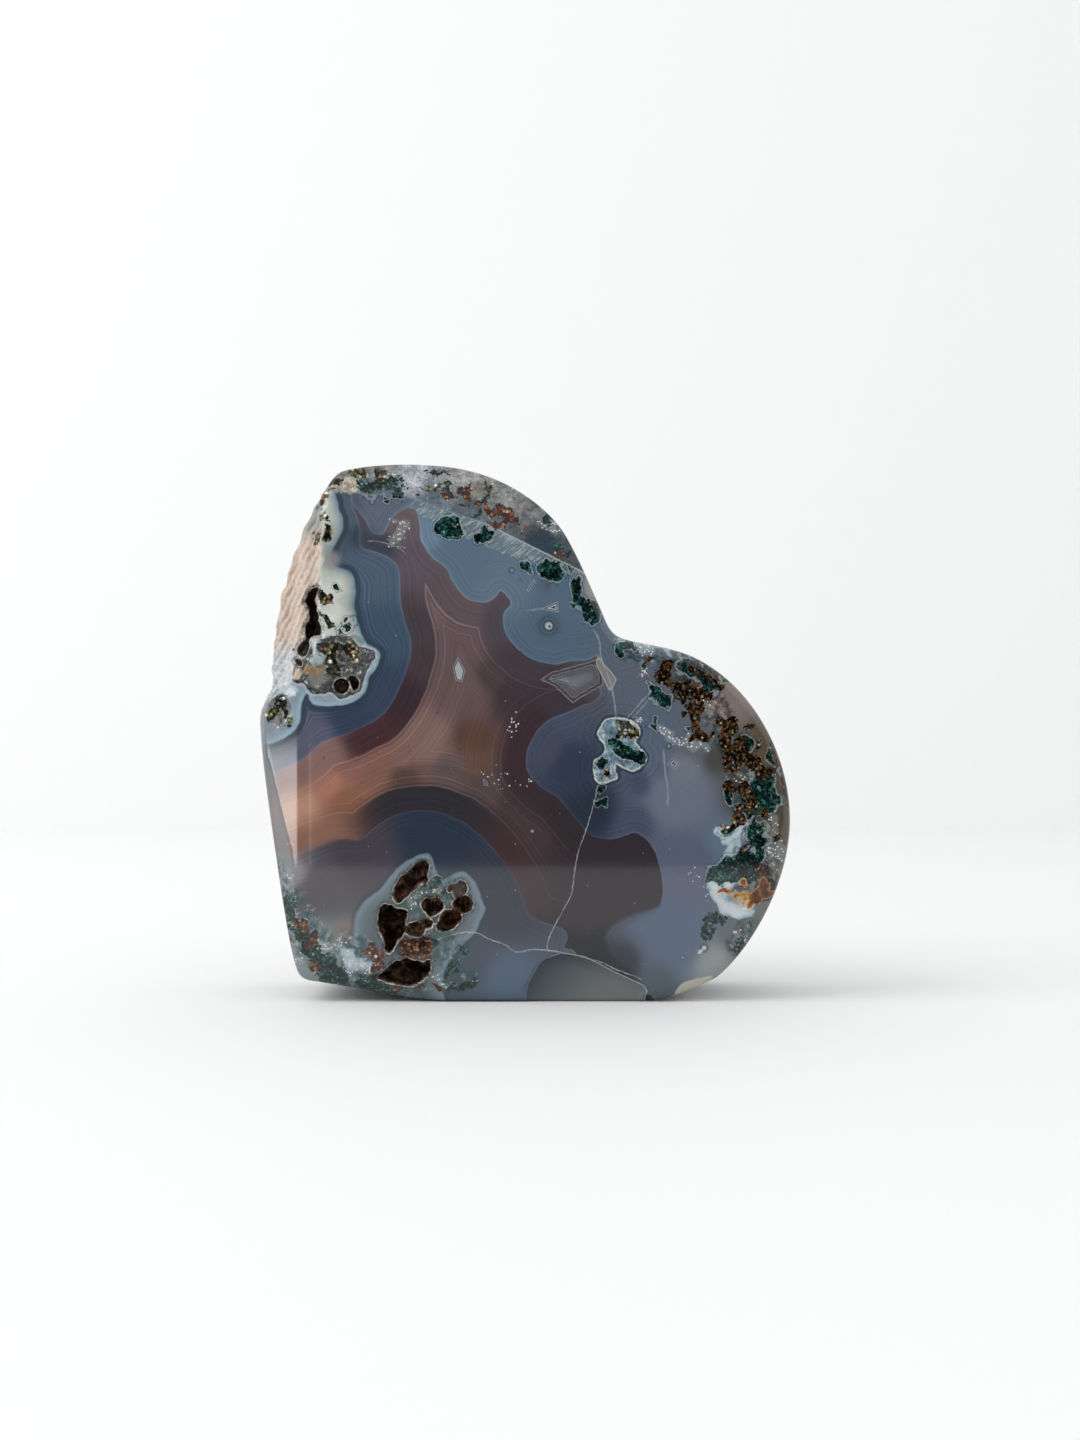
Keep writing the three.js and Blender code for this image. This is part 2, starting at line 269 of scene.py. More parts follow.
# Small straight-sided figures of nested lines: corners, how plain they are, and the colour of their middle.
FIGURES = {
    "triangle": ([(5.8, 70.7), (2.8, 69.4), (5.9, 68.8)], 0.9, (0.05, 0.07, 0.09)),
    "its tail": ([(2.9, 69.6), (0, 69.1), (2.9, 69.2)], 0.6, (0.2, 0.25, 0.28)),
    "splinter": ([(0.3, 72.7), (0.6, 72.4), (1.9, 74.3), (1.6, 74.6)], 0.9, (0.3, 0.35, 0.37)),
    "wedge": ([(-11.8, 60.9), (-12.7, 59), (-12.2, 56.8), (-11, 56.5), (-10.6, 58.6)],
              0.75, (0.42, 0.45, 0.46)),
    "small mark": ([(-7.4, 39.4), (-7.2, 38.3), (-6.5, 38.2), (-6.7, 39)], 0.7, (0.3, 0.3, 0.3)),
    "in the lilac": ([(25.1, 42), (26.1, 43.1), (27.4, 42.2), (26.6, 41)], 0.6, (0.09, 0.09, 0.1)),
    "in the kite": ([(4.1, 57), (9.2, 55.8), (7.2, 57.5)], 0.35, (0.14, 0.15, 0.17)),
}
# Small round spots, ringed by a dark line: middle (X, Z), radius in mm, colour.
SPOTS = [
    ((25.4, 45.2), 0.35, (0.28, 0.28, 0.28)), ((-2.3, 76.2), 0.35, (0.2, 0.27, 0.26)),
    ((31.6, 9.6), 0.5, (0.5, 0.54, 0.56)), ((27.8, 7.9), 0.25, (0.3, 0.36, 0.38)),
    ((1.3, 30.2), 0.35, (0.3, 0.34, 0.38)), ((-24, 80.4), 0.25, (0.5, 0.5, 0.5)),
]
EYE = (4.2, 66.4)

# Soft patches of colour: middle (X, Z), reach in mm, linear colour. First the brown middle of the stone,
# near the walls and farther in, then the blue and gray lobes round it, and the facets.
WALL_TINTS = {
    "beside the left lobe": ((-18.7, 66), 4, (0.055, 0.046, 0.053)),
    "at its widest": ((-18.2, 60.4), 3, (0.056, 0.04, 0.046)),
    "under its bulge": ((-21.8, 53.3), 3.5, (0.04, 0.023, 0.03)),
    "under its left": ((-27.5, 47), 4.5, (0.055, 0.027, 0.031)),
    "at its left end": ((-35.5, 43.3), 3.5, (0.21, 0.122, 0.108)),
    "under the diamond": ((-19, 78), 3, (0.1, 0.08, 0.098)),
    "slate by the diamond": ((-25.5, 80.3), 2.5, (0.045, 0.052, 0.074)),
    "diamond": ((-21.8, 83.8), 2.5, (0.118, 0.098, 0.105)),
    "under the upper lobe": ((-11.5, 69), 5, (0.105, 0.078, 0.086)),
    "under the notch": ((-5, 67), 3, (0.068, 0.06, 0.072)),
    "under the cleft lobe": ((-1.5, 59), 4, (0.055, 0.044, 0.052)),
    "maroon by the right lobe": ((0, 47), 6, (0.044, 0.026, 0.031)),
    "maroon by its foot": ((5, 28), 5, (0.031, 0.025, 0.028)),
    "over the arch": ((-17, 36.5), 7, (0.028, 0.026, 0.032)),
    "right of the arch": ((-1, 25.5), 5, (0.05, 0.029, 0.033)),
    "orange left of the arch": ((-37.9, 29), 4, (0.23, 0.115, 0.082)),
    "dark panel": ((18, 22), 6, (0.03, 0.025, 0.03)),
    "dark foot": ((13, 9), 5, (0.008, 0.009, 0.016)),
    "round the kite": ((12, 58), 3, (0.075, 0.068, 0.08)),
    "under the kite": ((6, 53.5), 3.5, (0.044, 0.036, 0.045)),
}
MIDDLE_TINTS = {
    "orange glow by the left flank": ((-34.6, 38.6), 3.5, (0.36, 0.162, 0.112)),
    "under the glow": ((-31.7, 35.5), 3.5, (0.23, 0.106, 0.069)),
    # The next patch is the flank's own orange, made brighter to paint in part of the glint of light that
    # the flank mirrors.
    "orange at the flank": ((-41, 35), 4, (0.42, 0.235, 0.165)),
    "left of the middle": ((-31.5, 42), 3.5, (0.235, 0.11, 0.094)),
    "between them": ((-26, 41.5), 3.5, (0.205, 0.102, 0.08)),
    "bright tan": ((-22, 43), 2.5, (0.2, 0.11, 0.092)),
    "over the arch, farther up": ((-21.5, 39.5), 3, (0.09, 0.055, 0.047)),
    "rosy tan": ((-17.5, 47), 4.5, (0.2, 0.12, 0.106)),
    "pink brown": ((-11.5, 54.5), 5, (0.122, 0.08, 0.08)),
    "upper brown": ((-12.5, 63), 5, (0.125, 0.084, 0.09)),
    "right of the left lobe": ((-15.8, 69), 3, (0.155, 0.103, 0.1)),
    "gold": ((-9.4, 47), 3.2, (0.098, 0.052, 0.038)),
    "brown under it": ((-8, 41.8), 2.5, (0.12, 0.066, 0.051)),
    "gray brown left of it": ((-13.5, 41), 3, (0.112, 0.077, 0.077)),
    "mauve below": ((-6.2, 37.5), 3.5, (0.088, 0.061, 0.062)),
    "maroon": ((-2, 54), 4, (0.05, 0.035, 0.041)),
    "maroon left": ((-6, 57.5), 3, (0.072, 0.049, 0.051)),
    "maroon foot": ((-1, 36), 5, (0.06, 0.038, 0.042)),
    "dark panel": ((16, 22), 6, (0.03, 0.025, 0.03)),
}
LOBE_TINTS = {
    "upper left lobe": ((-26, 76), 4, (0.072, 0.103, 0.15)),
    "left lobe, middle": ((-25, 65), 4, (0.05, 0.078, 0.122)),
    "left lobe, low": ((-24, 55), 4, (0.038, 0.055, 0.09)),
    "left lobe, foot": ((-31, 49.8), 4, (0.034, 0.05, 0.085)),
    "left lobe, lilac end": ((-37, 46.5), 4, (0.092, 0.1, 0.143)),
    "slate by the top lobe": ((-28.9, 82.3), 2, (0.042, 0.058, 0.083)),
    "under the corner": ((-31.7, 87), 3, (0.075, 0.1, 0.13)),
    "top lobe": ((-26, 86.5), 3, (0.108, 0.128, 0.172)),
    "upper lobe": ((-11.5, 79), 5, (0.098, 0.148, 0.203)),
    "upper lobe, left tip": ((-16.8, 82.5), 2.5, (0.14, 0.208, 0.28)),
    "upper lobe, right": ((-3.5, 73.5), 4, (0.115, 0.16, 0.218)),
    "by the cleft": ((3, 62.5), 5, (0.08, 0.122, 0.172)),
    "above the eye": ((5.5, 72), 3.5, (0.084, 0.132, 0.186)),
    "right of the cleft": ((19.5, 58.5), 4, (0.095, 0.116, 0.148)),
    "navy tip": ((4, 44.5), 3.5, (0.057, 0.066, 0.1)),
    "navy": ((8, 42), 4, (0.03, 0.043, 0.07)),
    "navy top": ((8, 49.5), 3, (0.058, 0.075, 0.11)),
    "navy foot": ((12, 34), 3.5, (0.023, 0.031, 0.05)),
    "slate over the panel": ((19.5, 31.5), 3, (0.06, 0.072, 0.114)),
    "lilac": ((26.5, 36.5), 5, (0.132, 0.158, 0.203)),
    "lilac, upper left": ((23.8, 41), 2, (0.088, 0.11, 0.152)),
    "lilac, left": ((20.3, 38.5), 2.2, (0.055, 0.07, 0.108)),
    "lilac top": ((30, 45.5), 3, (0.1, 0.115, 0.14)),
    "gray blue": ((23.5, 47), 4, (0.09, 0.118, 0.162)),
    "lower lilac": ((28.5, 24), 5, (0.09, 0.106, 0.155)),
    "blue foot": ((27, 12), 5, (0.084, 0.116, 0.175)),
    "dark foot": ((23.5, 3.2), 2.5, (0.058, 0.079, 0.1)),
    "olive shade": ((33.7, 43), 2.5, (0.062, 0.062, 0.058)),
    "warm gray": ((35.7, 53), 3, (0.2, 0.155, 0.14)),
    "brown rim": ((44, 43.5), 4, (0.092, 0.068, 0.04)),
    "olive rim": ((45.5, 31), 3, (0.078, 0.066, 0.046)),
    "blue beside the rim": ((35.3, 28.6), 3, (0.105, 0.152, 0.205)),
    "frosted rim": ((42.6, 19), 4, (0.13, 0.135, 0.12)),
    "gray lower right": ((38.5, 11), 4, (0.094, 0.115, 0.122)),
    "over the arch": ((-16.7, 30), 5, (0.025, 0.036, 0.058)),
    "left end of the arch": ((-29, 26), 5, (0.06, 0.051, 0.064)),
    "gray left of the pits": ((-35.5, 20.5), 5, (0.078, 0.07, 0.084)),
    "right of the pits": ((-4, 18), 5, (0.033, 0.037, 0.055)),
    "blue gray at the foot": ((-11, 7.5), 4, (0.048, 0.064, 0.092)),
    "blue at the foot": ((-3, 4), 3.5, (0.07, 0.105, 0.155)),
    "rosy gray": ((-31.8, 12.4), 1.8, (0.18, 0.145, 0.135)),
    "dark slate at the foot": ((17.3, 7.6), 2.3, (0.024, 0.03, 0.042)),
    # The next patch paints the pale glint of light on the flank together with the stone's own gray beside
    # it.
    "beside the flank": ((-40.5, 23), 2.5, (0.21, 0.2, 0.215)),
    "lower left": ((-37, 8), 5, (0.18, 0.22, 0.225)),
    "along the foot": ((-25, 3), 3, (0.15, 0.19, 0.185)),
    "lilac middle": ((28, 41), 3, (0.148, 0.168, 0.205)),
    "pale lower right": ((33.7, 7), 3, (0.225, 0.26, 0.255)),
    # The next two patches are painted highlights: pale gray light along the rim's edge by the cleft and by
    # the facets.
    "rim by the cleft": ((12, 72.6), 1.3, (0.24, 0.235, 0.225)),
    "rim by the facets": ((9.4, 77.6), 1.2, (0.24, 0.235, 0.225)),
    "pinkish, under the saw marks": ((4.1, 73.4), 1.2, (0.085, 0.08, 0.1)),
    "dark moss ground": ((30, 57.5), 2.5, (0.075, 0.072, 0.065)),
    "dark moss ground, lower": ((38, 43.5), 2.5, (0.075, 0.062, 0.052)),
    "dark moss ground, low": ((39, 36), 3, (0.065, 0.062, 0.06)),
    "beside the kite": ((11.5, 52.5), 2, (0.07, 0.078, 0.1)),
}
FACET_TINTS = {
    "beige corner": ((-33, 92), 3, (0.24, 0.235, 0.215)),
    "teal haze": ((-25.5, 90.8), 2.5, (0.075, 0.112, 0.124)),
    "pale top": ((-25.6, 94.2), 1.5, (0.26, 0.255, 0.235)),
    "white cloud": ((-19.5, 93.3), 2.5, (0.37, 0.395, 0.41)),
    "warm gray": ((-10.5, 93), 3, (0.3, 0.29, 0.285)),
    "slate left": ((-16, 88.8), 2.5, (0.115, 0.14, 0.175)),
    "slate": ((-10, 86.7), 2.5, (0.07, 0.092, 0.11)),
    "olive": ((-7.8, 90), 2, (0.2, 0.2, 0.155)),
    "gray": ((-2, 89.5), 3, (0.215, 0.22, 0.212)),
    "bright gray": ((-1, 89.3), 1.3, (0.28, 0.3, 0.295)),
    "gray, lower": ((0.3, 86), 2.5, (0.15, 0.15, 0.152)),
    "dark haze": ((3.1, 81.2), 3, (0.008, 0.024, 0.038)),
    "slate by the ridge": ((-3.5, 84.2), 2, (0.08, 0.104, 0.13)),
    "gray at the rim": ((5.5, 86.3), 1.5, (0.13, 0.13, 0.128)),
    "pinkish gray": ((-1.2, 87.6), 1.5, (0.215, 0.2, 0.2)),
    "green gray": ((5.2, 84), 2, (0.16, 0.178, 0.185)),
    "right end": ((8.5, 78.5), 2, (0.05, 0.06, 0.062)),
}
# How far the saw marks reach below the facets: (X, mm).
SAW_BAND = [(-20.5, 1.2), (-16, 2.7), (-8, 3.5), (-2, 3), (3, 2.2), (6.5, 0.4)]

# Growths inside the stone, as strokes on the front: radius in mm, thickness, then X and Z of each point
# that the stroke runs through. A thickness of 1 covers its middle, and less leaves scattered grains.
# Green moss first.
GREEN_MOSS = [
    (0.7, 1.2, -18.9, 89.8), (0.9, 1.1, -21.5, 90, -21.9, 89.1), (0.7, 0.8, -24.3, 88.6),
    (1.4, 0.8, -28.7, 91.2, -27, 90.4), (1.8, 0.7, -25.6, 91.4, -22, 91.8),
    (0.9, 0.7, -17, 94.2, -13.3, 93.3), (1.2, 0.95, -14.4, 91.7, -13.5, 90.9), (0.7, 0.9, -7.9, 86),
    (0.5, 0.9, -6.2, 84.4), (0.7, 0.8, 5.5, 80.3, 6.2, 79.8), (0.9, 0.7, 8.1, 78.7),
    (1.1, 0.8, 3.5, 85.4, 4.6, 84.4), (1.8, 1.35, -14.4, 83.3, -13.2, 84, -12.3, 83.5),
    (0.7, 1.1, -14.8, 82.3), (1.1, 1.2, -8.1, 82.1, -6.9, 82.8), (1.1, 1, 0.2, 77.5, 0.5, 76.4),
    (1.6, 1.3, 4.1, 76.6, 5.3, 77, 5.7, 75.7), (1.1, 1, 4.1, 75.2), (0.7, 0.9, 8.1, 76.8),
    (1.1, 1.25, 8.8, 74, 9.5, 72.7), (1.2, 1.3, 9.4, 71.3, 10.2, 70.4), (0.7, 1.15, 8.7, 69.7),
    (1.2, 1.3, 11.5, 69.9, 12, 68.5), (1.1, 1.25, 11.5, 67.4, 12.2, 67.1), (0.7, 1.1, -33.1, 72.9),
    (0.5, 0.9, -32.4, 67.1, -31.2, 67.8), (1.1, 0.5, -32.3, 65.7, -30.8, 66.7), (0.5, 0.9, -37, 87.4),
    (0.5, 1, -42.7, 48.6, -42, 48.9), (1.2, 1.15, -34.9, 62.1, -34.6, 60),
    (1.2, 1.05, -32.6, 63, -30.8, 62.1), (1.1, 1.25, 17.1, 62.3, 18, 62.7), (0.5, 0.9, 18.9, 62.1),
    (1.2, 1.15, 22.9, 55.4, 23.1, 53.9, 25.2, 53.2), (0.9, 1, 22.6, 49.1), (0.7, 1.2, 28.4, 48.4),
    (1.9, 0.9, 28.2, 59.6, 31, 58.6, 32.6, 55.9), (0.9, 0.9, 38.8, 46.3, 39.3, 45.2),
    (1.1, 1.1, 43.6, 43.5, 44.3, 42.4), (0.7, 0.9, 44.6, 40.8),
    (2.1, 1.15, 41.5, 39.6, 42.2, 37.5, 42.9, 35.7), (1.1, 1.25, 36.2, 36.5, 35.8, 35.2),
    (1.1, 1.3, 37.9, 34.3, 40.6, 34.3), (0.9, 0.9, 34.8, 30), (1.8, 0.75, 40.9, 30.3, 41.6, 28.6),
    (1, 1.6, 41.8, 27.2, 41.9, 25.3), (2.1, 1.8, 33.7, 22.6, 35.4, 23.9, 37.9, 22.7),
    (1.6, 1.2, 38.8, 25.5, 40, 24.8), (1.6, 0.8, 39.7, 23.9, 40.9, 22.6),
    (1.2, 1.1, 33.2, 15.1, 34.1, 14.5), (1.4, 1.15, 31.9, 14.2, 31.9, 12.4),
    (1.1, 0.8, 37.6, 9.1, 38.6, 10.1), (1.6, 1.5, 16.6, 45, 18.2, 44.4, 19.9, 43.2),
    (1.2, 1.45, 13.4, 42.2), (0.5, 1.1, 15.2, 45.7), (0.8, 1.2, 13.9, 37.8), (0.4, 1, 15.4, 39.6),
    (0.7, 0.8, 13.2, 35.2, 14.7, 34.6), (1.8, 1.3, -41.9, 17.2, -41, 14.5, -39.7, 12.8),
    (1.8, 1.2, -38.8, 11, -37.3, 9), (2.1, 1.05, -35.7, 7.6, -35, 5.6, -33.2, 5.1),
    (1.4, 0.9, -35.3, 3.9, -31.7, 3.9), (1.1, 0.7, -31.7, 6.1), (1.8, 0.9, -28.4, 3.2, -23.8, 2.6),
    (1.1, 1.1, -10.9, 9.8), (1.2, 0.95, -13.4, 5.4, -12.2, 6.6), (1.2, 0.95, -13.2, 2.2, -9.7, 3.4),
    (1.4, 0.75, -17.8, 21.9, -15.7, 20.9), (1.1, 0.8, -14.1, 18.6), (1.1, 0.9, -27.3, 9.9),
    (0.5, 1.2, 35.1, 56.9), (0.5, 1.1, 39.2, 48.6), (0.5, 1.2, 38.6, 46.1), (0.5, 1.2, 41.3, 45.4),
    (0.7, 1.2, 42.7, 40.6), (0.6, 1.1, 39.7, 32.5), (0.5, 1.1, 40.6, 41.5),
    (1.1, 0.75, -22, 92.1, -21.7, 90.7), (0.9, 0.7, -6.9, 89.1, -7.9, 87.7), (0.7, 0.9, -8.8, 85.8),
    (0.9, 0.8, -16.7, 20.3),
]

# Brown and golden grains.
RUST_MOSS = [
    (1.1, 1, -25.9, 93, -24.5, 93), (1.1, 1, -30.3, 93.9, -28.7, 93.4),
    (1.2, 0.95, -34.4, 91.8, -33.3, 92.5), (0.7, 0.9, -34.7, 90.4), (0.5, 1, -35.8, 87.4),
    (0.9, 1.1, -36.5, 86, -34.6, 85.4), (1.1, 1.1, -35.3, 83.3, -34.9, 82.1), (0.7, 1, -35.8, 81.5),
    (1.4, 0.85, -37.7, 83.3, -37.9, 81.2), (0.7, 0.9, -38.4, 79.4), (0.9, 0.75, -17.3, 90.9, -13.7, 91.4),
    (1.1, 1.15, -38.6, 72.4, -37.6, 72.9), (1.1, 1.2, -36.3, 72.7, -35.1, 71.3),
    (0.9, 1.2, -36.3, 69, -35.1, 67.8, -34.6, 66.4), (0.5, 0.9, -44.3, 63.6, -42.8, 63.9),
    (1.2, 1.5, -35.2, 63.2, -34.5, 60.8, -34.8, 59.6), (1.1, 1.45, -33.5, 63, -31.9, 62.5),
    (1.2, 1.5, -31, 63.4, -30.3, 61.3), (1.1, 1.1, -34.2, 59.6, -33.7, 57.9),
    (1.2, 1, -46, 50.7, -45, 51.2), (1, 0.85, -44.1, 53, -42.8, 53.6),
    (1.1, 1.05, -42.8, 52.3, -42.3, 50.9, -41.6, 50.2), (0.5, 1, -46, 49.3), (0.5, 1, -43.7, 49.4),
    (0.5, 0.9, -44.6, 52.3), (1.1, 1.35, 16.3, 49.2, 16.9, 47.6), (1, 1.35, 18, 48.9, 19.4, 47.6),
    (0.9, 1.35, 14.5, 40), (1.1, 1.3, 25.2, 60, 24.3, 57.9, 25.4, 56.8), (0.7, 0.9, 21.2, 59.5, 21.9, 60.4),
    (1.9, 1.5, 26.8, 55.3, 28.8, 54.9), (1.4, 1.45, 30, 52.3, 30.3, 50), (0.9, 1.25, 27.9, 51),
    (1.1, 1.3, 29.6, 48.6, 31.1, 47.5), (1.1, 1.35, 31.6, 46.6, 30, 46.2),
    (1.2, 1.3, 30.9, 54.2, 32.3, 53.9), (0.8, 1.1, 33.7, 56.1, 34.8, 55.3),
    (1.2, 0.65, 28.8, 60, 32.3, 57.5, 34.1, 57.9), (1.1, 1.3, 33.9, 49.8, 35.6, 48.7, 37.3, 49.5),
    (0.9, 1.1, 34.8, 47.5, 37.1, 47.9), (1.8, 1.3, 36.3, 45.6, 37.9, 44, 36.4, 42.2),
    (1.6, 1.15, 38.6, 44.2, 40.6, 42.1, 41.5, 40.4), (1.2, 1, 40.9, 41, 42.9, 40.6),
    (1.2, 1.35, 35.8, 38.3, 36.5, 37.8), (1.6, 1.35, 38.8, 38.1, 40.2, 36),
    (1.1, 0.9, 39.3, 34.8, 37.1, 33), (0.7, 0.9, 40.9, 45), (0.9, 0.9, 39.7, 48.7),
    (0.9, 1.2, 38.3, 32.2, 37.2, 33.4), (0.9, 1.35, 36.7, 32.4, 36.5, 31.2, 34.9, 31),
    (1.1, 1.2, 41.8, 33.9), (0.9, 0.9, 44.5, 29.3), (1.6, 1.25, 42.3, 23, 42.9, 20.7, 42, 18.9),
    (1.1, 1.1, 43.6, 21.6), (1.1, 0.9, 40.9, 20.7), (0.9, 0.8, 44.1, 45.4, 46, 37.5, 46.4, 34.8),
    (0.5, 1.2, 22.2, 60.4), (0.5, 1.2, 33, 47.2), (0.7, 1.2, 38.1, 46.3), (1.1, 1, 35.8, 44.2, 36.7, 41.9),
    (0.7, 1.2, -16.2, 19.8), (0.9, 1, -22.9, 2.5, -21.5, 2.4), (0.7, 0.9, -7.2, 90.7, -5.8, 90),
]

# Orange and red grains.
EMBER_MOSS = [
    (0.9, 1, -13.9, 89.1, -13, 89.3), (1.1, 1, -10.9, 89.8, -10.4, 90.5), (0.7, 1, -11.8, 87.7),
    (0.7, 0.95, -10.2, 87.5), (0.7, 1, -8.5, 87.4), (0.9, 1, -6.7, 87.7, -6, 86.5), (1.1, 0.95, -5.1, 86.5),
    (0.9, 1, -4.4, 84.5, -5.5, 84.4), (1.1, 1, -3, 86.1, -2.6, 85.2), (0.7, 0.9, -1.9, 84.2),
    (0.7, 1, 0, 83.8), (0.5, 1, 0.2, 86.3), (0.5, 0.85, -0.9, 82.8), (0.4, 0.9, -3, 83.1),
    (0.7, 1, 5.8, 79.3, 6.9, 79.3), (0.5, 0.9, 6.7, 78), (0.9, 1.1, -35.4, 89.7, -36.1, 88.8),
    (1.4, 1.6, -20.6, 9.6, -17.8, 10.4), (1.4, 1.3, -20.6, 8.3, -18.2, 8.4),
    (0.9, 1.4, -16.7, 9, -16.6, 7.8), (1, 1.6, -21.9, 10.9, -21.2, 9.6), (1.1, 1.4, -27, 9.1, -25.4, 8),
    (0.7, 1.1, -24.9, 8), (1.1, 1.35, -27, 5.8, -25.9, 6.4), (0.4, 1.2, -15, 17.5), (0.5, 0.9, -17.4, 11.9),
    (0.7, 1, -18.7, 3.4, -18.3, 2.2), (0.7, 0.95, -16.4, 3.2, -15.5, 2.4),
    (0.7, 0.8, -22.9, 2.5, -21.1, 2.5), (1, 1.3, -40.4, 14.2, -39.3, 13.3),
    (0.9, 1.2, -37.1, 11.9, -38.1, 10.8), (1, 1.15, -36.8, 5.7, -37, 6.4), (0.5, 0.9, -33.1, 5.5),
    (0.5, 0.9, -41.1, 11), (1.1, 1.5, -38.2, 59, -36.4, 58.6), (0.5, 1, -30.8, 61.3, -31.4, 62),
    (0.5, 1, -36.8, 56.3), (0.5, 1.1, 30.7, 55.8), (0.7, 0.95, 35.8, 38), (0.9, 0.9, 39.2, 36.9),
    (0.5, 1.1, 40, 28.1), (0.6, 1.1, 38.1, 26.9, 39, 27), (0.5, 0.9, 43.2, 41.3), (0.9, 0.9, 38.6, 32.5),
    (0.9, 0.8, 42.5, 33.6), (0.7, 1.2, -11.1, 89.7, -10.2, 88.8), (0.9, 1.1, -6.2, 87.2, -4.4, 86.3),
    (0.9, 1.1, -3.5, 85.1, -2.3, 84.4),
]

# Smooth orange crystals with a cream edge.
AMBER = [
    (0.8, 1.4, 38.3, 20.9), (0.6, 1.2, 34.6, 19.6, 36, 19.5), (1.1, 1.2, 40.6, 19.3, 41.1, 18.2),
    (0.9, 1.1, 39.7, 17.9), (1.2, 1.1, 42.2, 20.9, 42.5, 19.5), (1.2, 0.5, 37.4, 18.8, 39.2, 18.8),
]

# Fine white sparkles.
FROST = [
    (1.2, 1.15, -21.1, 83.8, -22.2, 82.1, -22.9, 81.4), (0.9, 0.8, -23.3, 85.1, -22, 84.5),
    (1.2, 0.95, 3.2, 84.4, 4.1, 83.8, 5, 82.4), (1.6, 0.6, -22.9, 93, -21.1, 93.5), (0.9, 0.6, -6.2, 90.9),
    (0.9, 0.6, -1.7, 90.4), (0.5, 1.2, 5.1, 74), (0.7, 1, -0.2, 76.6),
    (1.1, 1.05, 23.8, 48.4, 25.2, 47.2, 27.4, 46.3), (1.2, 1.1, 29.1, 46.3, 30.3, 45.2, 31.8, 44.5),
    (1.1, 0.9, 20.3, 62.1, 22.4, 61.6), (0.9, 0.9, 20.8, 60, 21.7, 58.3),
    (0.7, 0.8, 20.6, 57.7, 22.1, 57.9), (1.4, 0.9, 43.8, 33, 44.1, 29.5, 43.6, 26),
    (1.2, 0.8, 44.6, 27.8, 45.3, 25.1), (1.4, 0.35, 30.3, 22.5, 31.2, 19.8),
    (1.2, 0.8, -44.4, 61.3, -42.7, 58.3), (1.1, 0.9, -43.5, 55.1), (1.6, 1, -41.8, 17.2, -39.7, 13.6),
    (1.4, 1.05, -34.4, 10.3, -31.7, 9.9), (2.1, 0.95, -30.5, 7.1, -28.2, 5.7),
    (1.4, 0.95, -37.9, 8.4, -39.7, 7.5), (1.4, 0.9, -24.7, 3.6, -28.2, 3.1),
    (0.9, 0.8, -41.4, 23.3, -40.9, 21.9), (0.5, 0.9, -42.3, 28.3, -41.3, 27.6),
    (1.9, 0.3, -1.7, 50.7, -2.6, 48.4), (2.1, 0.22, -5.8, 40.6, -1.6, 38), (0.9, 0.5, 0.5, 39.6),
    (1.1, 0.9, 17.8, 48.6, 19.6, 49.4), (0.7, 1, 14.1, 39.4), (1.4, 0.75, 37.8, 11.9, 38.3, 11),
    (1.4, 0.7, 37.1, 41, 38.8, 38.9), (1.1, 0.7, 41.8, 41.3), (1.2, 0.8, 30.9, 52.8, 32.3, 51.2),
    (1.1, 0.5, -17.8, 19.8, -15, 19.5), (1.2, 0.6, -39.7, 71, -41.4, 75.4),
    (1.1, 0.9, -15, 3.1, -13.2, 2.7), (0.9, 1, -15.5, 4.5), (1.2, 0.8, 4.6, 84.4, 5.8, 83),
    (1.1, 1, -45, 51.6, -42.3, 50.7), (1.1, 0.8, -19.4, 17.2, -20.6, 18.4),
    (0.7, 1, -36.1, 10.5, -33, 10.6), (0.7, 0.9, -31.7, 7.1, -29.8, 6.9),
    (0.9, 0.7, -35.8, 61.3, -36.5, 63),
]

# Soft milky white, and one thin stroke of painted highlight along the rim.
MILK_AND_RIM_HIGHLIGHT = [
    (1.4, 1.1, 33, 20.7, 34.1, 18.9, 34.9, 16.6), (1.6, 1.25, 35.6, 16.3, 37.6, 16.3, 39.2, 17.3),
    (1.6, 0.75, 35.8, 18.6, 38.3, 18.4), (1.4, 1.15, 35.8, 20.9, 37.2, 21.6),
    (1.1, 1, 33.9, 30.2, 35.1, 28.8, 37.1, 29.3), (1.1, 0.85, 37.6, 31.1, 38.8, 31.8),
    (1.4, 0.65, 37.1, 27.8, 35.8, 26), (0.5, 1.2, 31.4, 9.4), (1.3, 1.3, -36.8, 63.7, -36.6, 60.8),
    (1.4, 0.85, -44.1, 54.7, -41.4, 55.4), (1.8, 0.7, -31.7, 8.4, -29.1, 6.6),
    # The first stroke on the next line is a painted highlight along the rim at the top of the right lobe.
    (0.6, 0.5, 15.9, 63.9, 21.2, 62.5, 25.4, 61.8), (0.9, 0.7, 39, 29),
]

# Mottled ground with dark and pale wisps.
CLOUDS = [
    (3.2, 0.5, -31.7, 92.5, -24, 92.2), (3.9, 1.1, -41.8, 17.2, -37.6, 10.1, -30.8, 6.1, -20.3, 2.5),
    (2.5, 0.9, -31.7, 10.6, -27.7, 9.2), (4.2, 1, -15, 19.5, -18.5, 15.4, -15, 10.1),
    (1.6, 0.9, -43.4, 23.7, -42.3, 20.7), (3.9, 1.2, 28.2, 59, 32, 55.6),
    (3.2, 1.1, 32, 55.6, 37.1, 44.5, 38.3, 35.7, 42.3, 28.6, 43.2, 20.7),
    (2.5, 0.8, 39.3, 13.6, 37.6, 10.1), (1.6, 0.8, 17.7, 62.1, 22.1, 60.7, 27.4, 59.7),
    (1.6, 0.8, -14.3, 4.3, -9.7, 4.8), (1.4, 0.8, -11.1, 9.6),
]

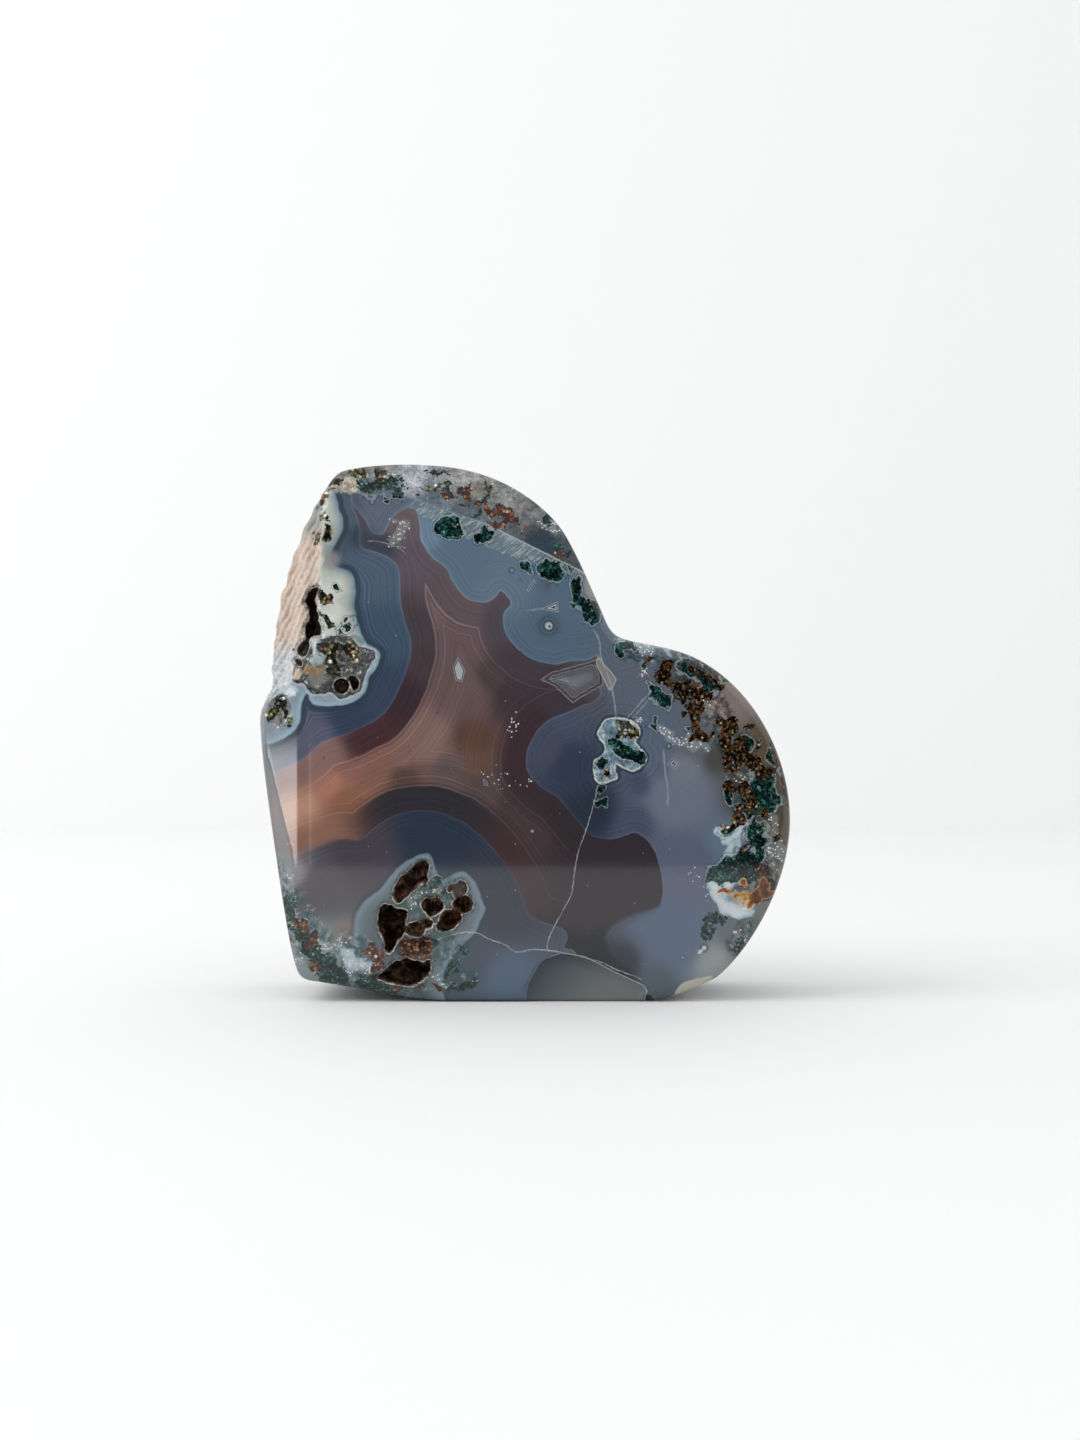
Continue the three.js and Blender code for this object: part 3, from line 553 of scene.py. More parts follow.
# Cracks that reach the surface. Each follows one coordinate across and is carried along the other:
# (along, across) points in mm, how plain it is, and how thick.
CRACKS = {
    "middle": ("z", [(9.2, 3.9), (10.8, 4.1), (13.5, 5.3), (16.6, 6.9), (19.5, 8.3), (22.6, 8.7),
                     (26.5, 9.4), (30.4, 10.8), (34.5, 12), (38.3, 12.9)], 0.55, 0.14),
    "upper": ("z", [(50.3, 16.1), (55.1, 15.4), (58.1, 14.5), (61.1, 13.4), (63.7, 13.1), (65.7, 12)],
              0.4, 0.2),
    "right": ("z", [(50.3, 18.2), (54.9, 22.2)], 0.6, 0.16),
    "beside it": ("z", [(50, 18.9), (54.2, 22.6)], 0.45, 0.14),
    "in the lilac": ("z", [(34.8, 25.2), (37.4, 25.2), (41, 24.7), (44.5, 24.5)], 0.35, 0.2),
    "foot": ("x", [(-16.1, 10.5), (-12.9, 11.9), (-9.6, 12.4), (-6.4, 11.2), (-3.2, 10), (-1.3, 8.9),
                   (1.2, 9.3), (3.9, 9.2), (7.1, 8.7), (10.4, 7.9), (13.6, 7), (15.7, 6), (19, 4.7),
                   (20.6, 4.1)], 0.55, 0.16),
    "under the diamond": ("x", [(-27.7, 81.4), (-25.5, 81.2), (-23.4, 80.6), (-21.9, 79.9), (-20.9, 78.9)],
                          0.35, 0.16),
}
# The bright line along the crease of the rind, as (Z, X) points.
RIND_EDGE = [(63.9, -35.3), (66.6, -36.1), (71, -37.4), (78, -37.7)]
# The dark panel lies to the right of the middle crack, between these heights.
PANEL = (13, 34)

# Columns of the grid round the rim, and its rows across the front, each edge, the side and the back.
AROUND = 520
FRONT_RINGS = 144
EDGE_RINGS = 5
SIDE_RINGS = 18
BACK_RINGS = 18
# Below 1 the rows stand a little closer together towards the rim.
CROWDING = 0.92
# A distance that stands for "not here", in mm.
OUTSIDE = 9

# The index of refraction of agate.
REFRACTION = 1.54
# The floor and the wall in metres: half their width, the floor's front, where they meet, the wall's top.
STAGE_HALF = 1.6
FLOOR_FRONT = -0.353
WALL_FOOT = 0.56
WALL_TOP = 1.6


def shade(colour, factor):
    """A colour made darker or lighter, never above 1."""
    return tuple(min(1.0, part * factor) for part in colour)


def bezier(points, t):
    """A cubic curve: the sum of its four points times (1-t)^3, 3t(1-t)^2, 3t^2(1-t) and t^3."""
    a, b, c, d = (np.array(p, float) for p in points)
    t = t[:, None]
    return a * (1 - t) ** 3 + b * 3 * t * (1 - t) ** 2 + c * 3 * t ** 2 * (1 - t) + d * t ** 3


def rim_curve(count):
    """The rim at equal steps of its length, with the direction that points into the stone at each place."""
    t = np.linspace(0, 1, 60, endpoint=False)
    line = []
    start = RIM_START
    for stretch in RIM:
        end = stretch[-1]
        if len(stretch) == 3:
            line.append(bezier([start, *stretch], t))
        else:
            line.append(np.array(start, float) + t[:, None] * (np.array(end, float) - start))
        start = end
    line = np.vstack(line)
    closed = np.vstack([line, line[:1]])
    length = np.concatenate([[0], np.cumsum(np.hypot(*np.diff(closed, axis=0).T))])
    at = np.linspace(0, length[-1], count, endpoint=False)
    rim = np.stack([np.interp(at, length, closed[:, k]) for k in (0, 1)], axis=1)
    along = np.roll(rim, -2, axis=0) - np.roll(rim, 2, axis=0)
    along /= np.linalg.norm(along, axis=1, keepdims=True)
    inward = np.stack([-along[:, 1], along[:, 0]], axis=1)
    return rim, inward


def smooth_outline(points, parts=5):
    """A closed Catmull-Rom spline through the points, in a number of steps from each to the next."""
    p = np.array(points, float)
    before, after, later = np.roll(p, 1, axis=0), np.roll(p, -1, axis=0), np.roll(p, -2, axis=0)
    t = (np.arange(parts) / parts)[None, :, None]
    a, b, c, d = (q[:, None, :] for q in (before, p, after, later))
    curve = 0.5 * (2 * b + (c - a) * t + (2 * a - 5 * b + 4 * c - d) * t ** 2
                   + (3 * b - a - 3 * c + d) * t ** 3)
    return curve.reshape(-1, 2)


def signed_distance(x, z, outline, parts=5):
    """Distance in mm from each point to the nearest stretch of a closed outline, negative inside it.

    With one part between two points the outline has straight sides, and with more it is a smooth curve.
    The nearest point of a stretch is its start plus its direction times the clamped projection. A point is
    inside where a level line to its right crosses the outline an odd number of times.
    """
    curve = smooth_outline(outline, parts)
    nearest = np.full(x.shape, 1e9)
    inside = np.zeros(x.shape, bool)
    for (ax, az), (bx, bz) in zip(curve, np.roll(curve, -1, axis=0)):
        dx, dz = bx - ax, bz - az
        t = np.clip(((x - ax) * dx + (z - az) * dz) / (dx * dx + dz * dz + 1e-12), 0, 1)
        nearest = np.minimum(nearest, (x - ax - t * dx) ** 2 + (z - az - t * dz) ** 2)
        if az != bz:
            crosses = (az > z) != (bz > z)
            inside ^= crosses & (x < ax + (z - az) * dx / dz)
    return np.where(inside, -1, 1) * np.sqrt(nearest)


def lumps(x, y, z, size, seed):
    """Smooth noise from -1 to 1: random values on a cubic lattice of this size in mm, blended in between.

    Each seed gives another pattern, so nothing lines up by chance.
    """
    table = np.random.default_rng(seed).uniform(-1, 1, (32, 32, 32))
    cells, blends = [], []
    for coordinate in (x, y, z):
        scaled = coordinate / size + 64
        cell = np.floor(scaled).astype(int)
        part = scaled - cell
        cells.append(cell)
        blends.append(part * part * (3 - 2 * part))
    total = 0
    for corner in np.ndindex(2, 2, 2):
        a, b, c = (np.abs(1 - step - blend) for step, blend in zip(corner, blends))
        i, j, k = ((cell + step) % 32 for step, cell in zip(corner, cells))
        total = total + a * b * c * table[i, j, k]
    return total


def rough(x, z, size, seed):
    """Smooth noise over the front alone."""
    return lumps(x, 0 * x, z, size, seed)


def unevenness(x, y, z):
    """The rind's broad lumps: four sine waves in different directions."""
    return (np.sin(0.83 * x + 1.3 * z + 0.4) + np.sin(1.27 * z - 0.71 * y + 2.1)
            + np.sin(1.61 * y + 0.95 * x + 4.0) + np.sin(2.3 * z + 1.9 * y - 1.7 * x)) / 2.6


def line_reach(x, z, line, pick):
    """How far each point lies to the left of a broken line, in mm, picked from its straight stretches."""
    reaches = []
    for (ax, az), (bx, bz) in zip(line, line[1:]):
        length = math.hypot(bx - ax, bz - az)
        reaches.append(((bx - ax) * (z - az) - (bz - az) * (x - ax)) / length)
    return pick(reaches, axis=0)


def rind_depth(x, z, crease, face_y, side):
    """How far the rind falls behind a face, in mm: slope times distance from the crease, with lumps."""
    slope = crease["slope"]
    share = (z - RIND_BOTTOM) / (RIND_TOP - RIND_BOTTOM)
    depth = slope * (crease["bottom"] + (crease["top"] - crease["bottom"]) * share - x)
    run_out = RIND_RUN_OUT * np.maximum(0, RIND_RUN_OUT_BELOW - z) ** 2
    y = face_y - side * np.clip(depth, 0, 20)
    return depth - math.hypot(1, slope) * (run_out + RIND_LUMP * unevenness(x, y, z))


def bowl_place(x, z, bowl, ragged=0.0):
    """How far each point is from a bowl's middle, where 1 is its rim: its offset, turned and scaled."""
    (mx, mz), (half_a, half_b), turn, _ = bowl
    c, s = math.cos(math.radians(turn)), math.sin(math.radians(turn))
    a = ((x - mx) * c + (z - mz) * s) / half_a
    b = (-(x - mx) * s + (z - mz) * c) / half_b
    place = np.hypot(a, b)
    if ragged:
        place = place * (1 + ragged * rough(x, z, 1.3, 41) + 0.5 * ragged * rough(x, z, 0.6, 43))
    return place


def pit_edges(x, z):
    """For each pit, how far each point lies outside its ragged rim, in mm, negative inside."""
    ragged = 0.22 * rough(x, z, 1.1, 41) + 0.13 * rough(x, z, 0.5, 43)
    return [(depth, signed_distance(x, z, outline, 3) + ragged * (0.25 if name in ROUND_PITS else 1))
            for name, (depth, outline) in PITS.items()]


def hollow_depth(x, z):
    """Depth of the pits and druses in mm. A pit's wall is a quarter of an ellipse, a druse a rough bowl."""
    depth = np.zeros(x.shape)
    floor = 1 + 0.25 * rough(x, z, 0.9, 47)
    for full, edge in pit_edges(x, z):
        wall = np.clip(-edge / PIT_WALL, 0, 1)
        depth = np.maximum(depth, full * floor * np.sqrt(1 - (1 - wall) ** 2))
    for druse in DRUSES:
        place = bowl_place(x, z, druse, 0.22)
        bumpy = 1 + 0.35 * rough(x, z, 0.8, 53)
        depth = np.maximum(depth, druse[3] * bumpy * np.sqrt(np.clip(1 - place ** 2, 0, 1)))
    return depth


def soft_max(a, b, blend):
    """The larger of two heights, with the crease between them rounded over this many mm."""
    gap = np.clip(1 - np.abs(a - b) / blend, 0, 1)
    return np.maximum(a, b) + blend * gap * gap / 4


def front_depth(x, z):
    """How far the front lies behind its plane: the deepest of the facets, the flank and the rind."""
    facets = math.tan(FACET_LEAN) * line_reach(x, z, FACET_LINE, np.max)
    bevel = math.tan(FLANK_LEAN) * line_reach(x, z, FLANK_LINE, np.min)
    glint = math.tan(GLINT_LEAN) * soft_max(GLINT_EDGE - x, 0 * x, 1.6)
    rind = rind_depth(x, z, RIND_FRONT, FRONT, -1)
    flank = soft_max(bevel, glint, 0.3) * np.clip((FLANK_TOP - z) / 6, 0, 1)
    return soft_max(soft_max(soft_max(facets, rind, 0.15), flank, 0.05), np.zeros(x.shape), 0.12)


def back_depth(x, z):
    """How far the back lies in front of its own plane: zero, or the rind's depth there."""
    return soft_max(rind_depth(x, z, RIND_BACK, BACK, 1), np.zeros(x.shape), 0.12)


def stone_surface(edge_radius):
    """The whole surface as a grid of points: its rows run from the front's middle to the back's middle.

    A front or back point lies on the straight line from the grid's middle to the rim's inner edge, and
    behind its plane by the depth of what is ground or broken off there. The edge is a quarter circle, and
    the side is straight between the two edges.
    """
    rim, inward = rim_curve(AROUND)
    middle = np.array(GRID_MIDDLE, float)
    rim_front = np.minimum(front_depth(rim[:, 0], rim[:, 1]), DEEPEST_CUT)
    rim_back = np.minimum(back_depth(rim[:, 0], rim[:, 1]), BACK - FRONT - rim_front - 1)
    rim_back = np.maximum(rim_back, 0)
    cut = np.clip((rim_front + rim_back) / 2.5, 0, 1)
    radius = edge_radius - (edge_radius - LEAST_RADIUS) * cut
    inner = rim + inward * radius[:, None]
    rows = []
    for share in (np.arange(1, FRONT_RINGS + 1) / FRONT_RINGS) ** CROWDING:
        p = middle + share * (inner - middle)
        y = FRONT + np.minimum(front_depth(p[:, 0], p[:, 1]), DEEPEST_CUT)
        rows.append(np.stack([p[:, 0], y, p[:, 1]], axis=1))
    front_edge = rows[-1][:, 1]
    for angle in np.linspace(0, math.pi / 2, EDGE_RINGS + 1)[1:]:
        p = rim + inward * (radius * (1 - math.sin(angle)))[:, None]
        y = front_edge + radius * (1 - math.cos(angle))
        rows.append(np.stack([p[:, 0], y, p[:, 1]], axis=1))
    back_edge = BACK - np.clip(back_depth(inner[:, 0], inner[:, 1]), 0, BACK - front_edge - 1.2)
    side_from = front_edge + radius
    side_to = np.maximum(back_edge - radius, side_from + 0.2)
    for share in np.arange(1, SIDE_RINGS + 1) / SIDE_RINGS:
        y = side_from + share * (side_to - side_from)
        rows.append(np.stack([rim[:, 0], y, rim[:, 1]], axis=1))
    for angle in np.linspace(math.pi / 2, 0, EDGE_RINGS + 1)[1:]:
        p = rim + inward * (radius * (1 - math.sin(angle)))[:, None]
        y = side_to + radius * math.cos(angle)
        rows.append(np.stack([p[:, 0], y, p[:, 1]], axis=1))
    back_edge_row = rows[-1][:, 1]
    for share in (np.arange(BACK_RINGS - 1, 0, -1) / BACK_RINGS) ** CROWDING:
        p = middle + share * (inner - middle)
        y = np.minimum(BACK - np.maximum(back_depth(p[:, 0], p[:, 1]), 0), BACK)
        blend = np.clip((share - 0.9) / 0.1, 0, 1)
        y = y * (1 - blend) + np.minimum(y, back_edge_row) * blend
        rows.append(np.stack([p[:, 0], y, p[:, 1]], axis=1))
    return np.array(rows)


def roughen(grid, flake_depth, rind_relief):
    """Opens the hollows in the front and adds the rind's fine relief, always into the stone.

    It gives back how deep the pits and druses are at each point.
    """
    x, y, z = grid[..., 0], grid[..., 1], grid[..., 2]
    facing = np.where(np.arange(len(grid)) < FRONT_RINGS + EDGE_RINGS, 1.0, 0.0)[:, None]
    hollow = hollow_depth(x, z) * facing
    flake = np.clip(-signed_distance(x, z, FLAKE, 1) / FLAKE_WALL, 0, 1)
    flake = flake_depth * np.sqrt(1 - (1 - flake) ** 2) * facing
    nick = NICK[3] * np.sqrt(np.clip(1 - bowl_place(x, z, NICK) ** 2, 0, 1)) * facing
    cut = np.maximum(np.maximum(hollow, flake), nick)
    behind = FRONT + np.minimum(front_depth(x, z), DEEPEST_CUT) + cut
    grid[..., 1] = np.where(cut > 0, np.maximum(y, behind), y)
    rind = rind_share(x, grid[..., 1], z)
    grid[..., 0] += rind_relief * rind * (0.6 + 0.6 * lumps(x, y / 1.6, z, 2.2, 61))
    return hollow


def rind_share(x, y, z):
    """1 on the natural rind, 0 on worked stone: where the rind is deeper than the polished planes."""
    front = rind_depth(x, z, RIND_FRONT, FRONT, -1)
    back = rind_depth(x, z, RIND_BACK, BACK, 1)
    by_front = np.clip(front / 0.6, 0, 1) * np.clip((y - FRONT - 0.02) / 0.3, 0, 1)
    by_back = np.clip(back / 0.6, 0, 1) * np.clip((BACK - y - 0.02) / 0.3, 0, 1)
    left = np.clip((-34.5 - x) / 1.5, 0, 1) * np.clip((z - 50) / 3, 0, 1) * np.clip((91.5 - z) / 2, 0, 1)
    return np.maximum(by_front, by_back) * left


def through_the_stone(x, y, z):
    """Where the pattern of a point is read on the front: its own place, drifting with depth as bands do."""
    depth = np.clip((y - FRONT) / (BACK - FRONT), 0, 1)
    drift = 11 * depth
    return (x + drift * lumps(x, y, z, 26, 71) + 3 * depth * lumps(x, y, z, 9, 73),
            z + drift * lumps(x, y, z, 26, 79) + 3 * depth * lumps(x, y, z, 9, 83))


def tint(x, z, tints):
    """The blend of the patches of colour at each point: each weighs 1/(0.02 + (distance/reach)^4)."""
    total = np.zeros((len(x), 3))
    weights = np.zeros(len(x))
    for (mx, mz), reach, colour in tints.values():
        weight = 1 / (0.02 + (((x - mx) ** 2 + (z - mz) ** 2) / reach ** 2) ** 2)
        total += weight[:, None] * np.array(colour)
        weights += weight
    return total / weights[:, None]


def growth(x, z, strokes):
    """How thickly moss grows at each point: the most of thickness times 1 - (distance/radius)^2.

    The points are shifted by smooth noise first, so that no stroke keeps a straight or round edge.
    """
    x, z = (x + 0.7 * rough(x, z, 2.1, 89) + 0.45 * rough(x, z, 0.9, 97),
            z + 0.7 * rough(x, z, 2.1, 101) + 0.45 * rough(x, z, 0.9, 103))
    most = np.full(x.shape, -1.0)
    for radius, thickness, *line in strokes:
        points = list(zip(line[::2], line[1::2]))
        for (ax, az), (bx, bz) in zip(points, points[1:] or points):
            dx, dz = bx - ax, bz - az
            t = np.clip(((x - ax) * dx + (z - az) * dz) / (dx * dx + dz * dz + 1e-9), 0, 1)
            squares = (x - ax - t * dx) ** 2 + (z - az - t * dz) ** 2
            most = np.maximum(most, thickness * (1 - squares / radius ** 2))
    return most


def closed_mesh(name, grid, pole_a, pole_b):
    """A mesh from a grid that closes round, with a fan of triangles to a pole at each end."""
    rows, columns = grid.shape[:2]
    vertices = np.vstack([grid.reshape(-1, 3), [pole_a, pole_b]]) * MM
    first = (np.arange(rows - 1)[:, None] * columns + np.arange(columns)[None, :]).ravel()
    right = (np.arange(rows - 1)[:, None] * columns + (np.arange(columns) + 1)[None, :] % columns).ravel()
    quads = np.stack([first, right, right + columns, first + columns], axis=1)
    column = np.arange(columns)
    beside = (column + 1) % columns
    last = (rows - 1) * columns
    pole = rows * columns
    fan_a = np.stack([np.full(columns, pole), beside, column], axis=1)
    fan_b = np.stack([np.full(columns, pole + 1), last + column, last + beside], axis=1)
    mesh = bpy.data.meshes.new(name)
    mesh.from_pydata(vertices.tolist(), [], quads.tolist() + fan_a.tolist() + fan_b.tolist())
    mesh.update()
    mesh.shade_smooth()
    return mesh


def keep_values(mesh, name, values):
    """Stores one number for each vertex."""
    attribute = mesh.attributes.new(name, "FLOAT", "POINT")
    attribute.data.foreach_set("value", np.ascontiguousarray(values, np.float32))


def keep_colours(mesh, name, colours):
    """Stores one linear colour for each vertex."""
    attribute = mesh.attributes.new(name, "FLOAT_COLOR", "POINT")
    rgba = np.ones((len(colours), 4), np.float32)
    rgba[:, :3] = colours
    attribute.data.foreach_set("color", rgba.ravel())


class Finish:
    """A material's nodes, with one short method for each kind of node."""

    def __init__(self, name):
        self.material = bpy.data.materials.new(name)
        self.material.use_nodes = True
        self.tree = self.material.node_tree
        self.tree.nodes.clear()
        coordinates = self.node("TexCoord", {})
        self.place = self.mapped(coordinates.outputs["Object"], scale=(1 / MM, 1 / MM, 1 / MM))
        axes = (1.0, 0.0, 0.0), (0.0, 1.0, 0.0), (0.0, 0.0, 1.0)
        self.x, self.y, self.z = (self.along(axis) for axis in axes)

    def node(self, kind, inputs, **settings):
        """A new node with its settings, and its inputs by their names or numbers."""
        node = self.tree.nodes.new("ShaderNode" + kind)
        for name, value in settings.items():
            setattr(node, name, value)
        for name, value in inputs.items():
            self.put(node.inputs[name], value)
        return node

    def mapped(self, place, scale=(1, 1, 1), turn=0.0):
        """A place scaled along the axes, then turned about the Y axis."""
        inputs = {"Vector": place, "Scale": scale, "Rotation": (0, turn, 0)}
        return self.node("Mapping", inputs).outputs["Vector"]

    def along(self, direction):
        """How far a place lies along a direction from the middle, in mm."""
        node = self.node("VectorMath", {0: self.place, 1: direction}, operation="DOT_PRODUCT")
        return node.outputs["Value"]

    def put(self, socket, value):
        """Links a socket or sets a plain value."""
        if isinstance(value, bpy.types.NodeSocket):
            self.tree.links.new(value, socket)
        elif socket.type == "RGBA":
            socket.default_value = (*value, 1)
        else:
            socket.default_value = value

    def value(self, name):
        """A number kept on the vertices."""
        return self.node("Attribute", {}, attribute_name=name).outputs["Fac"]

    def colour(self, name):
        """A colour kept on the vertices."""
        return self.node("Attribute", {}, attribute_name=name).outputs["Color"]

    def math(self, operation, a, b=0.0, c=0.0):
        """One step of arithmetic on sockets or plain numbers."""
        return self.node("Math", {0: a, 1: b, 2: c}, operation=operation).outputs[0]

    def times(self, *parts):
        """The product of two or more numbers."""
        product = parts[0]
        for part in parts[1:]:
            product = self.math("MULTIPLY", product, part)
        return product

    def plus(self, a, b):
        return self.math("ADD", a, b)

    def minus(self, a, b):
        return self.math("SUBTRACT", a, b)

    def over(self, a, b):
        return self.math("DIVIDE", a, b)

    def most(self, a, b):
        return self.math("MAXIMUM", a, b)

    def least(self, a, b):
        return self.math("MINIMUM", a, b)

    def times_plus(self, a, b, c):
        """a times b, plus c."""
        return self.math("MULTIPLY_ADD", a, b, c)

    def step(self, value, low, high, to_low=0.0, to_high=1.0):
        """Turns low..high into to_low..to_high, smoothly, and holds it beyond."""
        inputs = {"Value": value, "From Min": low, "From Max": high, "To Min": to_low, "To Max": to_high}
        return self.node("MapRange", inputs, interpolation_type="SMOOTHSTEP").outputs["Result"]

    def fall(self, value, full, end, share=1.0):
        """The share up to a value, then smoothly down to 0 at the end."""
        return self.step(value, full, end, share, 0.0)

    def mix(self, share, a, b, blend="MIX"):
        """From colour a to colour b by a share from 0 to 1."""
        inputs = {"Factor": share, 6: a, 7: b}
        return self.node("Mix", inputs, data_type="RGBA", blend_type=blend).outputs[2]

    def scaled(self, colour, factor):
        """A colour times a number, which may be over 1."""
        inputs = {"Factor": factor, 6: (0.0, 0.0, 0.0), 7: colour}
        return self.node("Mix", inputs, data_type="RGBA", clamp_factor=False).outputs[2]

    def ramp(self, value, stops):
        """Colours or grays along a value, as (place, colour) stops."""
        node = self.node("ValToRGB", {0: value})
        elements = node.color_ramp.elements
        while len(elements) < len(stops):
            elements.new(1.0)
        for element, (place, colour) in zip(elements, stops):
            element.position = place
            gray = isinstance(colour, (int, float))
            element.color = (colour, colour, colour, 1) if gray else (*colour, 1)
        return node.outputs["Color"]

    def line_noise(self, value, scale, detail=3.0, roughness=0.6):
        """Noise along one number, which makes bands."""
        inputs = {"W": value, "Scale": scale, "Detail": detail, "Roughness": roughness}
        return self.node("TexNoise", inputs, noise_dimensions="1D").outputs["Fac"]

    def noise(self, scale, detail=3.0, roughness=0.55, place=None):
        """Noise from 0 to 1 through the stone, in lumps of about 1/scale mm."""
        inputs = {"Vector": place or self.place, "Scale": scale, "Detail": detail, "Roughness": roughness}
        return self.node("TexNoise", inputs).outputs["Fac"]

    def wobble(self, size, scale, detail, roughness=0.55):
        """Noise about zero, from -size/2 to size/2."""
        return self.times_plus(self.noise(scale, detail, roughness), size, -size / 2)

    def wavy(self, name, size, scale, detail):
        """A number kept on the vertices, with noise about zero on it."""
        return self.plus(self.value(name), self.wobble(size, scale, detail))

    def cells(self, scale):
        """For random cells of 1/scale mm: the distance from the cell's middle, and a chance from 0 to 1."""
        node = self.node("TexVoronoi", {"Vector": self.place, "Scale": scale})
        split = self.node("SeparateColor", {0: node.outputs["Color"]})
        return node.outputs["Distance"], split.outputs[0]

    def scatter(self, amount, shape, grain):
        """How far each place is inside a growth: its amount less two sizes of noise."""
        clump = self.wobble(2.0, shape, 2.0, 0.6)
        crumb = self.wobble(1.7, grain, 2.0, 0.7)
        return self.minus(amount, self.plus(self.plus(clump, crumb), 0.36))

    def clumps(self, amount, shape):
        """How far each place is inside a growth, with its coarse noise alone."""
        clump = self.wobble(2.0, shape, 2.0, 0.6)
        return self.minus(amount, self.plus(clump, 0.36))

    def between(self, value, start, full_from, full_to, end):
        """1 between two values, falling to 0 on both sides."""
        return self.times(self.step(value, start, full_from), self.fall(value, full_to, end))

    def inside_of(self, corners):
        """How far a place of the front lies inside a straight-sided outline without hollows, in mm.

        It is the least of the distances to the lines through the sides, each positive on the inner side.
        """
        sides = list(zip(corners, corners[1:] + corners[:1]))
        turning = math.copysign(1, sum(ax * bz - bx * az for (ax, az), (bx, bz) in sides))
        least = 1e3
        for (ax, az), (bx, bz) in sides:
            length = math.hypot(bx - ax, bz - az) * turning
            across = ((az - bz) / length, 0.0, (bx - ax) / length)
            side = self.minus(self.along(across), across[0] * ax + across[2] * az)
            least = self.least(side, least)
        return least

    def away_from(self, x, z):
        """Distance in mm from a point of the front, through the whole thickness."""
        dx = self.minus(self.x, float(x))
        dz = self.minus(self.z, float(z))
        squares = self.plus(self.times(dx, dx), self.times(dz, dz))
        return self.math("SQRT", squares)

    def patch(self, x, z, full, end, share):
        """The share near a point of the front, fading to 0 at a distance in mm."""
        return self.fall(self.away_from(x, z), full, end, share)

    def curve(self, value, points):
        """A smooth curve through (value, result) points, both in mm."""
        node = self.node("FloatCurve", {})
        first, last = points[0][0], points[-1][0]
        results = [r for _, r in points]
        low, span = min(results), max(results) - min(results)
        curve = node.mapping.curves[0]
        while len(curve.points) < len(points):
            curve.points.new(0.5, 0.5)
        for point, (v, r) in zip(curve.points, points):
            point.location = ((v - first) / (last - first), (r - low) / span)
        node.mapping.update()
        share = self.over(self.minus(value, float(first)), float(last - first))
        self.put(node.inputs["Value"], share)
        return self.times_plus(node.outputs[0], float(span), float(low))

    def bump(self, height, distance, strength):
        """A relief that only the light sees, of this many metres at height 1."""
        inputs = {"Height": height, "Distance": distance, "Strength": strength}
        return self.node("Bump", inputs).outputs["Normal"]

    def finished(self, shader):
        """The material, with this shader on its surface."""
        self.node("OutputMaterial", {"Surface": shader.outputs[0]})
        return self.material


def middle_colour(f, outside, drift):
    """The brown middle: soft tints near the walls and farther in, with fine lines along the walls."""
    distance = f.plus(outside, drift)
    spread = f.times(f.value("plain"), 2.2)
    inner = f.step(distance, f.minus(3.9, spread), f.plus(5.3, spread))
    tinted = f.mix(inner, f.colour("wall_tint"), f.colour("middle_tint"))
    lines = f.ramp(f.over(distance, 14.0), [
        (0.0, 1.25), (0.008, 1.15), (0.018, 0.93), (0.16, 1.0), (0.24, 0.95), (0.305, 0.9), (0.314, 1.7),
        (0.326, 1.8), (0.336, 1.0), (0.385, 0.98), (0.392, 1.25), (0.402, 1.0), (0.428, 0.95), (0.436, 1.5),
        (0.448, 1.0), (0.62, 1.0), (0.628, 1.25), (0.638, 1.0), (1.0, 1.0)])
    fine = f.step(f.line_noise(distance, 2.6, 4.0, 0.7), 0.3, 0.7, 0.86, 1.15)
    broad = f.step(f.line_noise(distance, 0.45, 2.0, 0.5), 0.35, 0.65, 0.92, 1.1)
    shaded = f.mix(1.0, tinted, f.mix(f.value("plain"), lines, (1.0, 1.0, 1.0)), "MULTIPLY")
    bands = f.minus(f.times(fine, broad), 1.0)
    return f.scaled(shaded, f.times_plus(bands, f.minus(1.0, f.value("plain")), 1.0))


def lobe_colour(f, inside, left, drift):
    """The blue and gray lobes: a pale skin line at the wall, then fine lines that fade inwards."""
    distance = f.plus(inside, drift)
    skin = f.ramp(f.over(distance, 8.0), [
        (0.0, 1.35), (0.025, 1.22), (0.045, 0.95), (0.09, 1.03), (0.12, 0.94), (0.16, 1.05), (0.2, 0.96),
        (0.27, 1.03), (0.34, 0.99), (1.0, 1.0)])
    fine = f.line_noise(distance, 3.2, 3.0, 0.65)
    depth = f.step(distance, 1.0, 7.0, 0.36, 0.1)
    lines = f.times_plus(f.minus(fine, 0.5), f.times(depth, 2.0), 1.0)
    left_lines = f.step(f.line_noise(f.value("left_growth"), 1.9, 4.0, 0.7), 0.3, 0.7, 0.8, 1.22)
    in_left = f.fall(left, -0.05, 0.05)
    lines = f.plus(f.times(lines, f.minus(1.0, in_left)),
                   f.times(left_lines, in_left))
    lines = f.scaled(skin, lines)
    lines = f.mix(f.value("calm"), lines, (1.0, 1.0, 1.0))
    return f.mix(1.0, f.colour("lobe_tint"), lines, "MULTIPLY")


def add_panel(f, colour, panel):
    """The dark panel to the right of the middle crack."""
    _, points, _, _ = CRACKS["middle"]
    beside = f.minus(f.x, f.curve(f.z, points))
    right = f.step(beside, -0.05, 0.1)
    level = f.between(f.z, PANEL[0] - 3.0, PANEL[0] + 2.0, PANEL[1], PANEL[1] + 2.0)
    return f.mix(f.times(right, level, 0.9), colour, panel)


